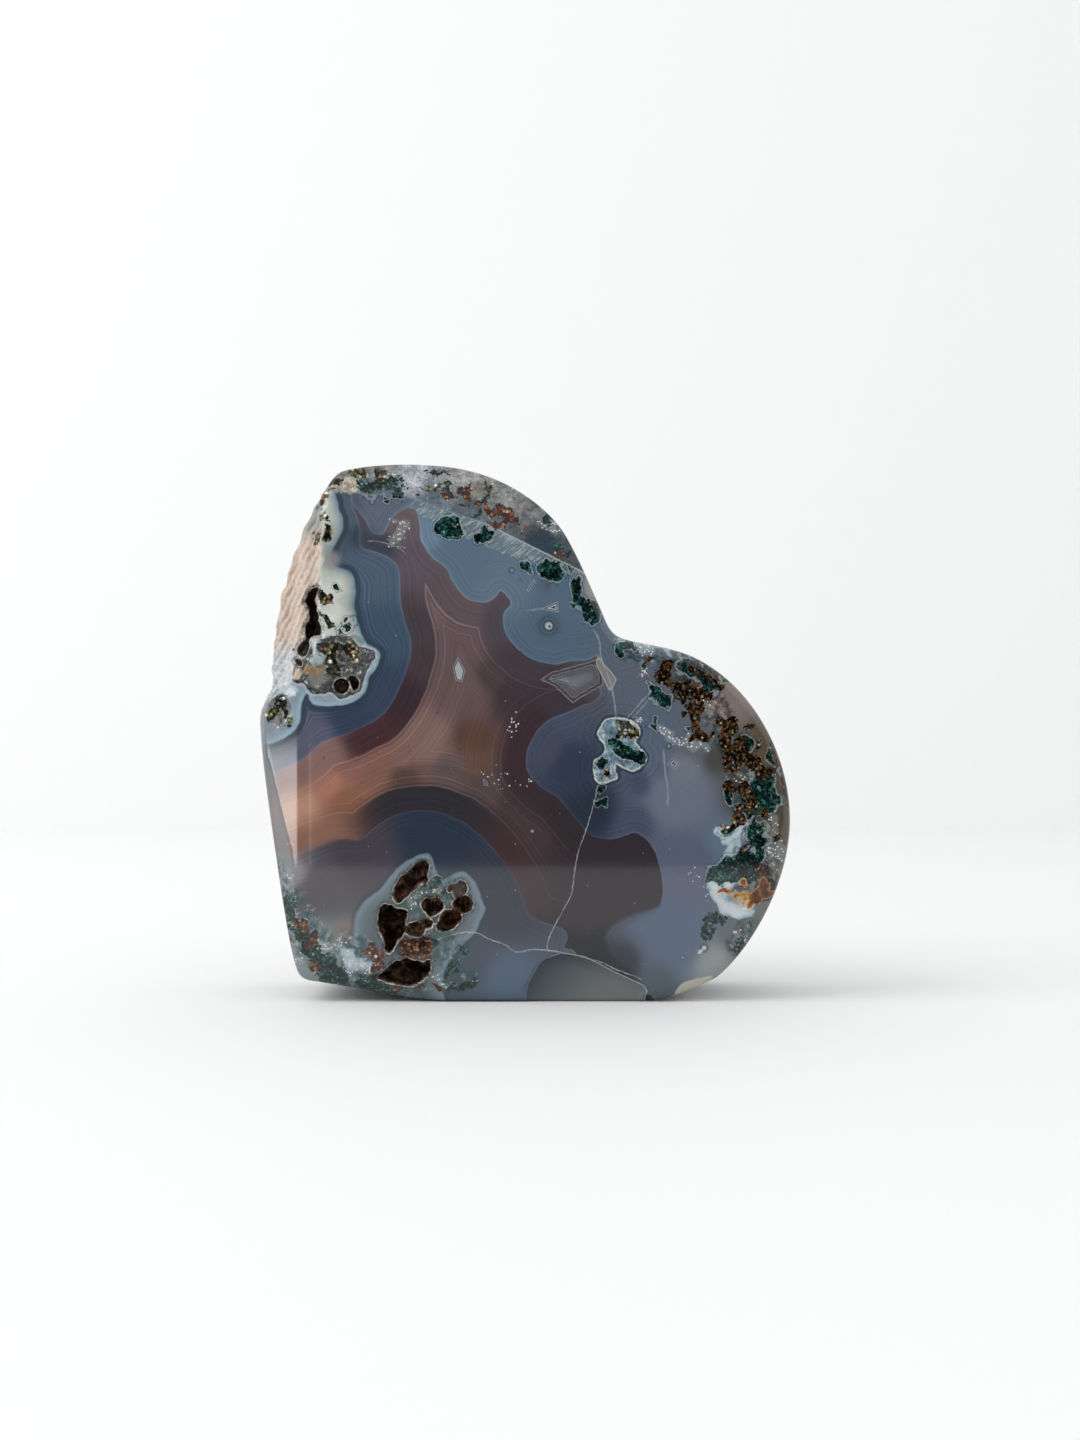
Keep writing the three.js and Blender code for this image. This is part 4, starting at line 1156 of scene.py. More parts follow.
def add_pale_core(f, colour, white):
    """The pale core of the left lobe inside a dark slate line, whitest in its middle."""
    core = f.wavy("left_core", 0.5, 0.5, 2.0)
    slate = f.between(core, 0.0, 0.2, 0.7, 1.2)
    colour = f.mix(f.times(slate, 0.75), colour, (0.03, 0.044, 0.066))
    upper = f.ramp(f.over(core, -5.0), [
        (0.0, (0.13, 0.19, 0.22)), (0.1, (0.22, 0.29, 0.31)), (0.25, shade(white, 0.6)),
        (0.5, shade(white, 0.8)), (1.0, white)])
    lower = f.ramp(f.over(core, -5.0), [
        (0.0, (0.14, 0.2, 0.24)), (0.06, (0.26, 0.35, 0.4)), (0.2, (0.21, 0.29, 0.35)),
        (0.4, (0.25, 0.275, 0.315)), (1.0, (0.3, 0.305, 0.335))])
    pale = f.mix(f.step(f.z, 61.0, 67.0), lower, upper)
    cloud = f.step(f.noise(0.22, 2.0), 0.35, 0.65, 0.85, 1.12)
    pale = f.scaled(pale, cloud)
    colour = f.mix(f.fall(core, -0.12, 0.06), colour, pale)
    blur = f.patch(-34.2, 78.0, 0.6, 2.4, 0.8)
    return f.mix(blur, colour, (0.26, 0.245, 0.25))


def add_pocket(f, colour):
    """The pocket in the pale core: gray quartz needles, beige crystals, and a light and a dark rim."""
    pocket = f.wavy("pocket", 0.9, 1.1, 3.0)
    _, chance = f.cells(2.1)
    grains = f.ramp(chance, [
        (0.0, (0.012, 0.013, 0.013)), (0.3, (0.045, 0.048, 0.047)), (0.6, (0.095, 0.1, 0.098)),
        (0.8, (0.15, 0.155, 0.15)), (0.92, (0.3, 0.31, 0.3)), (1.0, (0.62, 0.62, 0.58))])
    needles = f.step(f.noise(1.6, 4.0, 0.85), 0.42, 0.6, 0.4, 1.9)
    gray = f.scaled(f.mix(0.45, grains, (0.085, 0.088, 0.085)), needles)
    quartz = f.patch(-36.6, 57.1, 1.0, 2.2, 0.7)
    gray = f.mix(quartz, gray, (0.215, 0.205, 0.185))
    specks = f.times(f.patch(-34.6, 55.2, 1.0, 2.0, 0.9), f.step(chance, 0.2, 0.4))
    gray = f.mix(specks, gray, (0.045, 0.058, 0.06))
    beige = f.patch(-40.7, 58.2, 0.8, 1.6, 0.9)
    gray = f.mix(beige, gray, (0.62, 0.48, 0.37))
    colour = f.mix(f.fall(pocket, -0.15, 0.05), colour, gray)
    light = f.between(pocket, 0.12, 0.25, 0.35, 0.6)
    colour = f.mix(f.times(light, 0.5), colour, (0.52, 0.55, 0.53))
    dark = f.between(pocket, -0.25, -0.12, 0.0, 0.16)
    return f.mix(f.times(dark, 0.8), colour, (0.022, 0.024, 0.028))


def add_pit_halo(f, colour):
    """The pale blue skin round the pits, and the gray crust between them."""
    halo = f.wavy("pit_halo", 0.5, 0.6, 2.0)
    dark = f.between(halo, -0.1, 0.3, 0.4, 1.1)
    colour = f.mix(f.times(dark, 0.4), colour, (0.025, 0.035, 0.055))
    skin = f.ramp(f.times_plus(halo, -0.25, 0.0), [
        (0.0, (0.11, 0.155, 0.19)), (0.1, (0.15, 0.205, 0.245)), (0.3, (0.115, 0.155, 0.18)),
        (0.6, (0.095, 0.12, 0.13)), (1.0, (0.08, 0.098, 0.105))])
    return f.mix(f.fall(halo, -0.2, 0.15), colour, skin)


def add_white_blob(f, colour):
    """The white and blue knot right of the middle, ringed by faint lines."""
    blob = f.wavy("white_blob", 0.8, 1.3, 3.0)
    ring = f.step(f.line_noise(blob, 2.4, 2.0, 0.6), 0.35, 0.65, 0.86, 1.15)
    near = f.fall(blob, 1.0, 5.0)
    colour = f.mix(near, colour, f.scaled(colour, ring))
    dark = f.between(blob, 0.0, 0.12, 0.25, 0.7)
    colour = f.mix(f.times(dark, 0.8), colour, (0.024, 0.034, 0.055))
    white = f.ramp(f.noise(1.1, 4.0, 0.65), [
        (0.32, (0.04, 0.075, 0.105)), (0.42, (0.1, 0.16, 0.21)), (0.52, (0.17, 0.25, 0.3)),
        (0.6, (0.3, 0.38, 0.42)), (0.72, (0.5, 0.56, 0.57))])
    skin = f.between(blob, -0.4, -0.22, -0.08, 0.02)
    white = f.mix(f.times(skin, 0.75), white, (0.56, 0.57, 0.5))
    return f.mix(f.fall(blob, -0.1, 0.05), colour, white)


def add_kite(f, colour):
    """The kite of nested lines between two lobes, and the tan chip at its right."""
    kite = f.plus(f.times(f.value("kite"), -1.0), f.wobble(0.5, 0.9, 2.0))
    nested = f.ramp(f.over(kite, 3.0), [
        (0.0, (0.15, 0.15, 0.16)), (0.035, (0.21, 0.2, 0.2)), (0.07, (0.06, 0.052, 0.06)),
        (0.19, (0.06, 0.05, 0.058)), (0.225, (0.2, 0.195, 0.2)), (0.27, (0.07, 0.066, 0.078)),
        (0.36, (0.105, 0.105, 0.12)), (0.46, (0.085, 0.088, 0.105)), (0.6, (0.12, 0.125, 0.14)),
        (1.0, (0.16, 0.17, 0.185))])
    colour = f.mix(f.step(kite, -0.06, 0.06), colour, nested)
    chip = f.value("tan_chip")
    tan = f.mix(f.step(chip, -0.3, -0.05), (0.2, 0.2, 0.19), (0.36, 0.35, 0.33))
    colour = f.mix(f.fall(chip, -0.05, 0.1, 0.85), colour, tan)
    low = f.wavy("low_chip", 0.4, 1.2, 2.0)
    return f.mix(f.fall(low, -0.1, 0.1, 0.9), colour, (0.44, 0.42, 0.35))


def add_figures(f, colour):
    """The small round eye, the small straight-sided figures, the ringed spots, and dust."""
    plain = colour
    eye = f.away_from(*EYE)
    shades = f.ramp(f.over(eye, 4.9), [
        (0.0, (0.4, 0.44, 0.45)), (0.11, (0.36, 0.41, 0.43)), (0.15, (0.07, 0.09, 0.11)),
        (0.2, (0.04, 0.056, 0.078)), (0.24, (0.08, 0.112, 0.14)), (0.26, (0.075, 0.105, 0.135)),
        (0.3, (0.05, 0.078, 0.108)), (0.45, (0.06, 0.095, 0.138)), (1.0, (0.08, 0.12, 0.17))])
    colour = f.mix(f.fall(eye, 1.2, 3.0, 0.9), colour, shades)
    pupil = f.patch(EYE[0] + 0.15, EYE[1] - 0.1, 0.12, 0.3, 0.95)
    colour = f.mix(pupil, colour, (0.008, 0.01, 0.012))
    for corners, strength, middle in FIGURES.values():
        inside = f.inside_of(corners)
        nested = f.ramp(inside, [
            (0.0, (0.22, 0.27, 0.3)), (0.1, (0.24, 0.29, 0.31)), (0.16, (0.045, 0.055, 0.07)),
            (0.26, (0.045, 0.055, 0.07)), (0.32, (0.42, 0.46, 0.47)), (0.42, (0.42, 0.46, 0.47)),
            (0.5, middle)])
        colour = f.mix(f.step(inside, -0.08, 0.02, 0.0, strength), colour, nested)
    for (x, z), size, tone in SPOTS:
        near = f.away_from(x, z)
        ring = f.times(f.step(near, size * 0.7, size), f.fall(near, size * 1.4, size * 2.0, 0.6))
        colour = f.mix(ring, colour, (0.045, 0.055, 0.07))
        colour = f.mix(f.fall(near, size * 0.5, size * 0.9, 0.85), colour, tone)
    colour = f.mix(f.step(f.y, FRONT + 3.0, FRONT + 7.0), colour, plain)
    apart, chance = f.cells(0.62)
    speck = f.times(f.fall(apart, 0.05, 0.09), f.step(chance, 0.8, 0.84))
    return f.mix(f.times(speck, 0.55), colour, (0.4, 0.42, 0.42))


def crack_line(f, direction, points, width):
    """1 on a crack and 0 beside it: how near the point is to the crack's curve, between its two ends."""
    along, across = (f.z, f.x) if direction == "z" else (f.x, f.z)
    wander = f.wobble(0.5, 1.2, 3.0)
    offset = f.math("ABSOLUTE", f.minus(f.plus(across, wander), f.curve(along, points)))
    line = f.fall(offset, width * 0.4, width)
    first, last = points[0][0], points[-1][0]
    within = f.between(along, first - 0.3, first + 0.3, last - 0.3, last + 0.3)
    return f.times(line, within)


def add_cracks(f, colour):
    """Pale hair cracks across the polish."""
    lines = 0.0
    for direction, points, plain, width in CRACKS.values():
        line = f.times(crack_line(f, direction, points, width), plain)
        lines = f.most(line, lines)
    front = f.fall(f.y, FRONT + 6.0, FRONT + 12.0)
    uneven = f.step(f.noise(0.6, 3.0, 0.7), 0.35, 0.6, 0.45, 1.2)
    return f.mix(f.times(lines, front, uneven), colour, (0.4, 0.42, 0.43))


def add_facets(f, colour):
    """The ground facets on the upper lobe, and the band of saw marks just below them."""
    reach = f.value("facet")
    coarse = f.step(f.noise(0.45, 4.0, 0.65), 0.32, 0.68, 0.62, 1.32)
    fine = f.step(f.noise(1.9, 4.0, 0.75), 0.38, 0.62, 0.7, 1.28)
    tone = f.scaled(f.colour("facet_tint"), f.times(coarse, fine))
    fray = f.times(f.minus(f.noise(0.9, 4.0, 0.7), 0.5), f.step(f.x, -33.0, -22.0, 7.0, 1.0))
    share = f.step(f.plus(reach, fray), -0.1, 0.35, 0.0, 0.95)
    colour = f.mix(share, colour, tone)
    streaked = f.mapped(f.mapped(f.place, turn=math.radians(36)), scale=(0.5, 1, 3.2))
    hatch = f.step(f.noise(0.8, 3.0, 0.65, place=streaked), 0.47, 0.6)
    frayed = f.wobble(1.6, 0.9, 3.0, 0.6)
    fall = f.plus(f.plus(reach, frayed), f.curve(f.x, SAW_BAND))
    band = f.times(f.step(fall, -0.2, 0.2), f.fall(reach, -0.1, 0.05))
    where = f.between(f.x, -21.0, -18.5, 6.3, 6.9)
    band = f.times(band, f.times(where, f.fall(f.y, FRONT, FRONT + 0.5)))
    colour = f.mix(f.times(band, 0.75), colour, (0.135, 0.172, 0.198))
    colour = f.mix(f.times(band, hatch, 0.65), colour, (0.4, 0.45, 0.46))
    ridge = f.between(reach, -0.16, -0.02, 0.04, 0.16)
    return f.mix(f.times(ridge, f.step(f.x, -12.0, -4.0, 0.05, 0.75)), colour, (0.42, 0.46, 0.46))


def add_flake(f, colour):
    """The flake lost from the foot: a smooth hollow in painted shade, darker to the upper left, with a fine
    pale edge of painted highlight.
    """
    flake = f.value("flake")
    # Painted shade: the hollow is darker to the upper left and lighter to the lower right, as the light
    # falls into it.
    light = f.step(f.minus(f.times(f.x, 0.8), f.z), -5.0, 12.0)
    tone = f.mix(light, (0.024, 0.034, 0.046), (0.13, 0.142, 0.14))
    colour = f.mix(f.fall(flake, -0.12, 0.02, 0.92), colour, tone)
    # Painted highlight: a fine pale line along the flake's edge, faint on the left and strong on the right.
    edge = f.fall(f.math("ABSOLUTE", flake), 0.04, 0.16)
    return f.mix(f.times(edge, f.step(f.x, 2.0, 9.0, 0.12, 0.75)), colour, (0.42, 0.46, 0.45))


def add_rind(f, colour, rind):
    """The natural rind on the left: pinkish beige above, milky lilac gray below."""
    grain = f.noise(1.5, 5.0, 0.72, place=f.mapped(f.place, scale=(1, 0.5, 1)))
    upper = f.ramp(grain, [
        (0.3, shade(rind, 0.62)), (0.42, shade(rind, 0.86)), (0.55, rind), (0.7, (0.8, 0.74, 0.66))])
    lower = f.ramp(grain, [
        (0.3, (0.36, 0.37, 0.38)), (0.5, (0.55, 0.57, 0.58)), (0.65, (0.74, 0.76, 0.76))])
    height = f.plus(f.z, f.wobble(5.0, 0.5, 3.0))
    tone = f.mix(f.step(height, 60.0, 66.0), lower, upper)
    high = f.mix(f.step(height, 81.0, 85.0), tone, (0.42, 0.43, 0.4))
    colour = f.mix(f.value("rind"), colour, high)
    line = f.times(crack_line(f, "z", RIND_EDGE, 0.32), f.fall(f.y, FRONT + 1.5, FRONT + 3.0, 0.9))
    colour = f.mix(line, colour, (0.74, 0.77, 0.73))
    patch = f.wavy("beige_patch", 1.2, 0.9, 3.0)
    patch_tone = f.mix(f.step(f.noise(1.5, 3.0), 0.45, 0.6), (0.47, 0.385, 0.29), (0.62, 0.52, 0.42))
    return f.mix(f.fall(patch, -0.15, 0.05, 0.95), colour, patch_tone)


def add_clouds(f, colour):
    """Wisps in the ground under the moss: dark teal and pale gray."""
    amount = f.most(f.least(f.times(f.value("clouds"), 1.6), 1.0), 0.0)
    wisps = f.noise(0.85, 6.0, 0.72)
    teal = f.times(amount, f.fall(wisps, 0.42, 0.56, 0.85))
    dark = f.mix(f.step(f.noise(0.3, 2.0), 0.45, 0.55), (0.014, 0.045, 0.044), (0.038, 0.034, 0.026))
    dark = f.mix(f.step(f.x, -12.0, 0.0), (0.02, 0.066, 0.066), dark)
    colour = f.mix(teal, colour, dark)
    pale = f.times(amount, f.step(wisps, 0.56, 0.68, 0.0, 0.8))
    return f.mix(pale, colour, (0.36, 0.4, 0.4))


def add_milk_and_frost(f, colour, frost_white):
    """Soft milky white, with one stroke of painted highlight along the rim, and fine white sparkles in a
    thin haze.
    """
    milk_and_rim_highlight = f.minus(f.value("milk_and_rim_highlight"), f.times_plus(f.noise(0.6, 5.0, 0.7), 1.6, -0.62))
    tone = f.ramp(milk_and_rim_highlight, [(0.0, (0.2, 0.27, 0.33)), (0.3, (0.29, 0.37, 0.42)), (0.9, (0.52, 0.57, 0.58))])
    colour = f.mix(f.step(milk_and_rim_highlight, -0.05, 0.35, 0.0, 0.95), colour, tone)
    frost = f.value("frost")
    haze = f.minus(frost, f.noise(2.4, 4.0, 0.8))
    colour = f.mix(f.step(haze, -0.15, 0.35, 0.0, 0.25), colour, shade(frost_white, 0.55))
    apart, chance = f.cells(2.6)
    some = f.step(f.times_plus(frost, 0.55, chance), 0.97, 1.05)
    spark = f.times(some, f.fall(apart, 0.28, 0.46, 0.9))
    return f.mix(spark, colour, frost_white)


def add_green_moss(f, colour, green_colour):
    """Dark green moss in small clumps, each with a thin pale scalloped ring and a dark line round it."""
    amount = f.value("green_moss")
    around = f.clumps(amount, 0.75)
    ringed = f.times(f.step(f.z, 20.0, 24.0), f.fall(f.value("facet"), -0.3, 0.2))
    dark = f.between(around, -0.98, -0.8, -0.62, -0.5)
    colour = f.mix(f.times(dark, ringed, 0.5), colour, (0.028, 0.04, 0.055))
    pale = f.between(around, -0.56, -0.4, -0.22, -0.06)
    colour = f.mix(f.times(pale, ringed, 0.45), colour, (0.34, 0.4, 0.41))
    green = f.scatter(amount, 0.75, 2.6)
    _, chance = f.cells(2.6)
    tone = f.ramp(chance, [
        (0.0, shade(green_colour, 0.08)), (0.45, shade(green_colour, 0.22)),
        (0.72, shade(green_colour, 0.6)), (0.9, shade(green_colour, 1.6)), (0.97, (0.05, 0.09, 0.08)),
        (1.0, (0.16, 0.21, 0.2))])
    tone = f.scaled(tone, f.step(f.noise(0.45, 2.0), 0.42, 0.58, 0.5, 1.35))
    return f.mix(f.step(green, -0.05, 0.04), colour, tone)


def add_rust_and_ember(f, colour, rust_colour, ember_colour):
    """Brown grains on the right, golden ones on the left, orange and red grains, and amber crystals."""
    apart, chance = f.cells(2.4)
    gaps = f.step(apart, 0.3, 0.62, 1.15, 0.4)
    rust = f.scatter(f.value("rust_moss"), 0.8, 2.6)
    brown = f.ramp(chance, [
        (0.0, shade(rust_colour, 0.03)), (0.36, shade(rust_colour, 0.08)), (0.5, shade(rust_colour, 0.35)),
        (0.62, shade(rust_colour, 0.8)), (0.74, shade(rust_colour, 1.5)), (0.8, (0.014, 0.03, 0.027)),
        (0.9, (0.055, 0.06, 0.052)), (0.96, (0.15, 0.12, 0.08)), (1.0, (0.42, 0.34, 0.25))])
    golden_apart, golden_chance = f.cells(1.45)
    gold = f.ramp(golden_chance, [
        (0.0, (0.006, 0.006, 0.004)), (0.36, (0.012, 0.014, 0.008)), (0.44, (0.06, 0.065, 0.02)),
        (0.54, (0.24, 0.22, 0.08)), (0.6, (0.02, 0.03, 0.018)), (0.68, (0.42, 0.42, 0.24)),
        (0.75, (0.03, 0.05, 0.035)), (0.84, (0.3, 0.17, 0.085)), (0.92, (0.6, 0.58, 0.46)),
        (1.0, (0.9, 0.9, 0.84))])
    gold = f.scaled(gold, f.step(golden_apart, 0.28, 0.6, 1.25, 0.3))
    gold = f.scaled(gold, f.step(f.x, -41.8, -40.4, 1.9, 1.0))
    golden = f.most(f.fall(f.x, -10.0, 0.0), f.fall(f.value("white_blob"), -0.3, 0.3))
    golden = f.most(golden, f.patch(35.4, 31.0, 1.6, 2.2, 1.0))
    tone = f.mix(golden, f.scaled(brown, gaps), gold)
    colour = f.mix(f.step(rust, -0.06, 0.05), colour, tone)

    ember = f.scatter(f.value("ember_moss"), 0.9, 2.4)
    apart, chance = f.cells(1.9)
    red = f.ramp(chance, [
        (0.0, shade(ember_colour, 0.06)), (0.2, shade(ember_colour, 0.25)), (0.34, ember_colour),
        (0.44, (0.27, 0.055, 0.022)), (0.52, (0.03, 0.02, 0.014)), (0.6, (0.02, 0.016, 0.012)),
        (0.68, (0.2, 0.15, 0.08)), (0.78, (0.38, 0.19, 0.09)), (0.85, (0.035, 0.028, 0.02)),
        (0.93, (0.26, 0.08, 0.035)), (1.0, (0.7, 0.58, 0.44))])
    tone = f.mix(f.step(apart, 0.42, 0.62, 0.0, 0.9), red, (0.02, 0.014, 0.01))
    tone = f.mix(f.patch(-37.0, 58.6, 2.4, 3.2, 0.6), tone, (0.36, 0.25, 0.15))
    colour = f.mix(f.step(ember, -0.06, 0.05), colour, tone)

    amber = f.minus(f.value("amber"), f.times_plus(f.noise(1.3, 3.0), 1.4, -0.45))
    tone = f.ramp(amber, [
        (0.0, (0.72, 0.58, 0.38)), (0.14, (0.6, 0.36, 0.12)), (0.35, (0.4, 0.14, 0.03)),
        (0.7, (0.14, 0.035, 0.01))])
    tone = f.scaled(tone, f.step(f.x, 39.4, 40.6, 1.0, 0.45))
    return f.mix(f.step(amber, -0.05, 0.06), colour, tone)


def add_pits(f, colour, pit_brown):
    """The open pits: brown walls with painted shade that deepens with depth, a thin cream rim of painted
    highlight, and a dark crust outside it.
    """
    edge = f.value("pit_edge")
    crust = f.times(f.fall(edge, 0.35, 0.9, 0.7), f.step(f.noise(1.6, 3.0), 0.42, 0.54))
    colour = f.mix(crust, colour, (0.034, 0.034, 0.03))
    broken = f.step(f.noise(0.9, 4.0, 0.7), 0.4, 0.56, 0.08, 0.9)
    # Painted highlight: a thin broken cream line just inside each pit's rim, where the edge catches the
    # light.
    rim = f.times(f.between(edge, -0.06, 0.03, 0.1, 0.22), broken)
    brown = f.ramp(f.noise(0.6, 5.0, 0.65), [
        (0.38, shade(pit_brown, 0.04)), (0.46, shade(pit_brown, 0.2)), (0.54, shade(pit_brown, 0.9)),
        (0.66, shade(pit_brown, 2.0))])
    orange = f.patch(-12.6, 15.2, 1.4, 2.8, 0.75)
    rusty = f.patch(-37.9, 69.6, 0.8, 1.8, 0.85)
    brown = f.mix(rusty, brown, (0.085, 0.022, 0.012))
    fuzzy = f.patch(-39.8, 62.1, 1.2, 1.8, 0.9)
    brown = f.mix(fuzzy, brown, f.ramp(f.noise(2.4, 3.0, 0.7), [
        (0.35, (0.035, 0.022, 0.014)), (0.65, (0.16, 0.115, 0.085))]))
    brown = f.mix(orange, brown, f.mix(1.0, brown, (1.7, 1.15, 0.65), "MULTIPLY"))
    gray = f.patch(-11.7, 20.0, 0.9, 1.8, 0.8)
    brown = f.mix(gray, brown, (0.1, 0.085, 0.072))
    # Painted shade: the pit walls darken towards the bottom of each hollow, with depth.
    deep = f.mix(f.step(f.value("hollow"), 1.8, 4.6, 0.0, 0.8), brown, shade(pit_brown, 0.05))
    # Painted shade: the pits on the left, the fissure among them, are darkened further, to about a third.
    deep = f.scaled(deep, f.step(f.x, -30.0, -27.0, 0.36, 1.0))
    apart, chance = f.cells(2.2)
    crumb = f.times(f.step(edge, -1.6, -0.3), f.step(chance, 0.86, 0.9))
    crumb = f.times(crumb, f.fall(apart, 0.25, 0.45, 0.7))
    deep = f.mix(crumb, deep, (0.34, 0.29, 0.24))
    colour = f.mix(f.fall(edge, -0.12, 0.0), colour, deep)
    return f.mix(rim, colour, (0.6, 0.57, 0.5))


def agate_finish(settings):
    """Polished banded agate, with its rough rind, its pits and its ground facets."""
    f = Finish("polished agate")
    drift = f.wobble(1.2, 0.16, 2.0)
    waver = f.wobble(0.3, 0.7, 2.0)
    walls = [f.value(name) for name in ("left_lobe", "top_lobe", "upper_lobe", "right_lobe", "arch_lobe")]
    outside = walls[0]
    for wall in walls[1:]:
        outside = f.least(outside, wall)
    outside = f.plus(outside, waver)
    inside = f.times(outside, -1.0)
    small_drift = f.times(drift, 0.35)
    lobe = f.step(f.over(inside, f.value("soft_edge")), -1.0, 1.0)
    brown = add_panel(f, middle_colour(f, outside, small_drift), settings.panel_colour)
    colour = f.mix(lobe, brown, lobe_colour(f, inside, walls[0], small_drift))
    colour = add_pale_core(f, colour, settings.core_colour)
    colour = add_pit_halo(f, colour)
    colour = add_white_blob(f, colour)
    colour = add_kite(f, colour)
    colour = add_facets(f, colour)
    colour = add_flake(f, colour)
    colour = add_figures(f, colour)
    colour = add_cracks(f, colour)
    # The left flank's bevel: the ground bevel's own gray-blue, made paler by painted light shining through
    # the thin edge.
    colour = f.mix(f.step(f.value("flank"), -0.1, 0.4, 0.0, 0.8), colour, (0.2, 0.215, 0.225))
    colour = add_rind(f, colour, settings.rind_colour)
    colour = add_clouds(f, colour)
    colour = add_pocket(f, colour)
    colour = add_milk_and_frost(f, colour, settings.frost_colour)
    colour = add_green_moss(f, colour, settings.moss_colour)
    colour = add_rust_and_ember(f, colour, settings.rust_colour, settings.ember_colour)
    colour = add_pits(f, colour, settings.pit_colour)
    hollow = f.value("hollow")
    rind = f.value("rind")

    shader = f.node("BsdfPrincipled", {"Base Color": colour, "IOR": REFRACTION})
    in_druse = f.step(hollow, 0.1, 0.6)
    rough_stone = f.most(rind, f.times(in_druse, 0.55))
    roughness = f.times_plus(rough_stone, 0.65, settings.polish)
    facet = f.step(f.value("facet"), 0.0, 0.3)
    roughness = f.plus(roughness, f.times(facet, 0.08))
    f.put(shader.inputs["Roughness"], roughness)
    gloss = f.times(f.step(hollow, 0.5, 1.5, 0.5, 0.06), f.times_plus(facet, -0.45, 1.0))
    f.put(shader.inputs["Specular IOR Level"], gloss)
    grain = f.noise(1.6, 5.0, 0.7, place=f.mapped(f.place, scale=(1, 0.6, 1)))
    relief = f.times(grain, rough_stone)
    f.put(shader.inputs["Normal"], f.bump(relief, 0.0006, 0.9))
    return f.finished(shader)


def keep_walls(mesh, px, pz):
    """Keeps each point's distance to every outline, and how soft, plain and calm the bands are there."""
    left = signed_distance(px, pz, LEFT_LOBE)
    core = signed_distance(px, pz, LEFT_CORE)
    keep_values(mesh, "left_lobe", left)
    keep_values(mesh, "left_core", core)
    keep_values(mesh, "left_growth", 11 * -left / (np.maximum(-left, 0) + np.maximum(core, 0) + 0.5))
    for name, outline in (("top_lobe", TOP_LOBE), ("upper_lobe", UPPER_LOBE), ("right_lobe", RIGHT_LOBE),
                          ("arch_lobe", ARCH_LOBE), ("pit_halo", PIT_HALO), ("white_blob", WHITE_BLOB),
                          ("pocket", POCKET), ("beige_patch", BEIGE_PATCH), ("low_chip", LOW_CHIP)):
        keep_values(mesh, name, signed_distance(px, pz, outline))
    for name, outline in (("kite", KITE), ("tan_chip", TAN_CHIP)):
        keep_values(mesh, name, signed_distance(px, pz, outline, 1))
    by_foot = 1.9 * np.clip(1.3 - np.hypot(px - 20, pz - 9) / 8, 0, 1)
    by_arch = 0.9 * np.clip(1.3 - np.hypot(px + 38, pz - 27.5) / 8, 0, 1)
    keep_values(mesh, "soft_edge", 0.1 + by_foot + by_arch)
    by_panel = np.clip(1.4 - np.hypot(px - 15, (pz - 18) * 0.8) / 9, 0, 1)
    by_flank = np.clip(1.25 - np.hypot(px + 40, (pz - 33) * 0.8) / 12, 0, 0.85)
    by_right_lobe = 0.55 * np.clip((px + 12) / 8, 0, 1)
    keep_values(mesh, "plain", np.maximum(np.maximum(by_panel, by_flank), by_right_lobe))
    keep_values(mesh, "calm", 0.85 * np.clip((px - 15) / 8, 0, 1) * np.clip((33 - pz) / 8, 0, 1))


def keep_growths(mesh, x, y, z, px, pz):
    """Keeps how thickly each growth stands at each point. Behind the front the growths have gaps."""
    deep = np.clip((y - FRONT - 1.5) / 6.5, 0, 1)
    gaps = deep * np.clip(0.6 + 2.4 * lumps(x, y, z, 6.5, 109), 0, 1.7)
    for name, strokes in (("green_moss", GREEN_MOSS), ("rust_moss", RUST_MOSS), ("ember_moss", EMBER_MOSS),
                          ("amber", AMBER), ("frost", FROST), ("milk_and_rim_highlight", MILK_AND_RIM_HIGHLIGHT), ("clouds", CLOUDS)):
        keep_values(mesh, name, growth(px, pz, strokes) - gaps)


def keep_marks(mesh, x, y, z):
    """Keeps where the pits, the flake, the rind, the facets and the flank are, which belong to the surface.

    Behind the front a mark ends: its distance there is OUTSIDE, or grows with the depth.
    """
    edge = np.min([edge for _, edge in pit_edges(x, z)], axis=0)
    keep_values(mesh, "pit_edge", np.where(y < FRONT + 12, edge, OUTSIDE))
    keep_values(mesh, "flake", np.where(y < FRONT + 6, signed_distance(x, z, FLAKE, 1), OUTSIDE))
    keep_values(mesh, "rind", rind_share(x, y, z))
    behind = np.maximum(y - FRONT - 6, 0)
    ragged = np.minimum(behind, 2) * lumps(x, y, z, 4, 113)
    reach = np.minimum(line_reach(x, z, FACET_LINE, np.max), 3)
    keep_values(mesh, "facet", reach - 0.5 * behind + ragged)
    fading = 0.7 * np.maximum(y - FRONT - 2, 0) + 0.4 * np.maximum(z - 45, 0)
    keep_values(mesh, "flank", line_reach(x, z, FLANK_LINE, np.min) - fading)


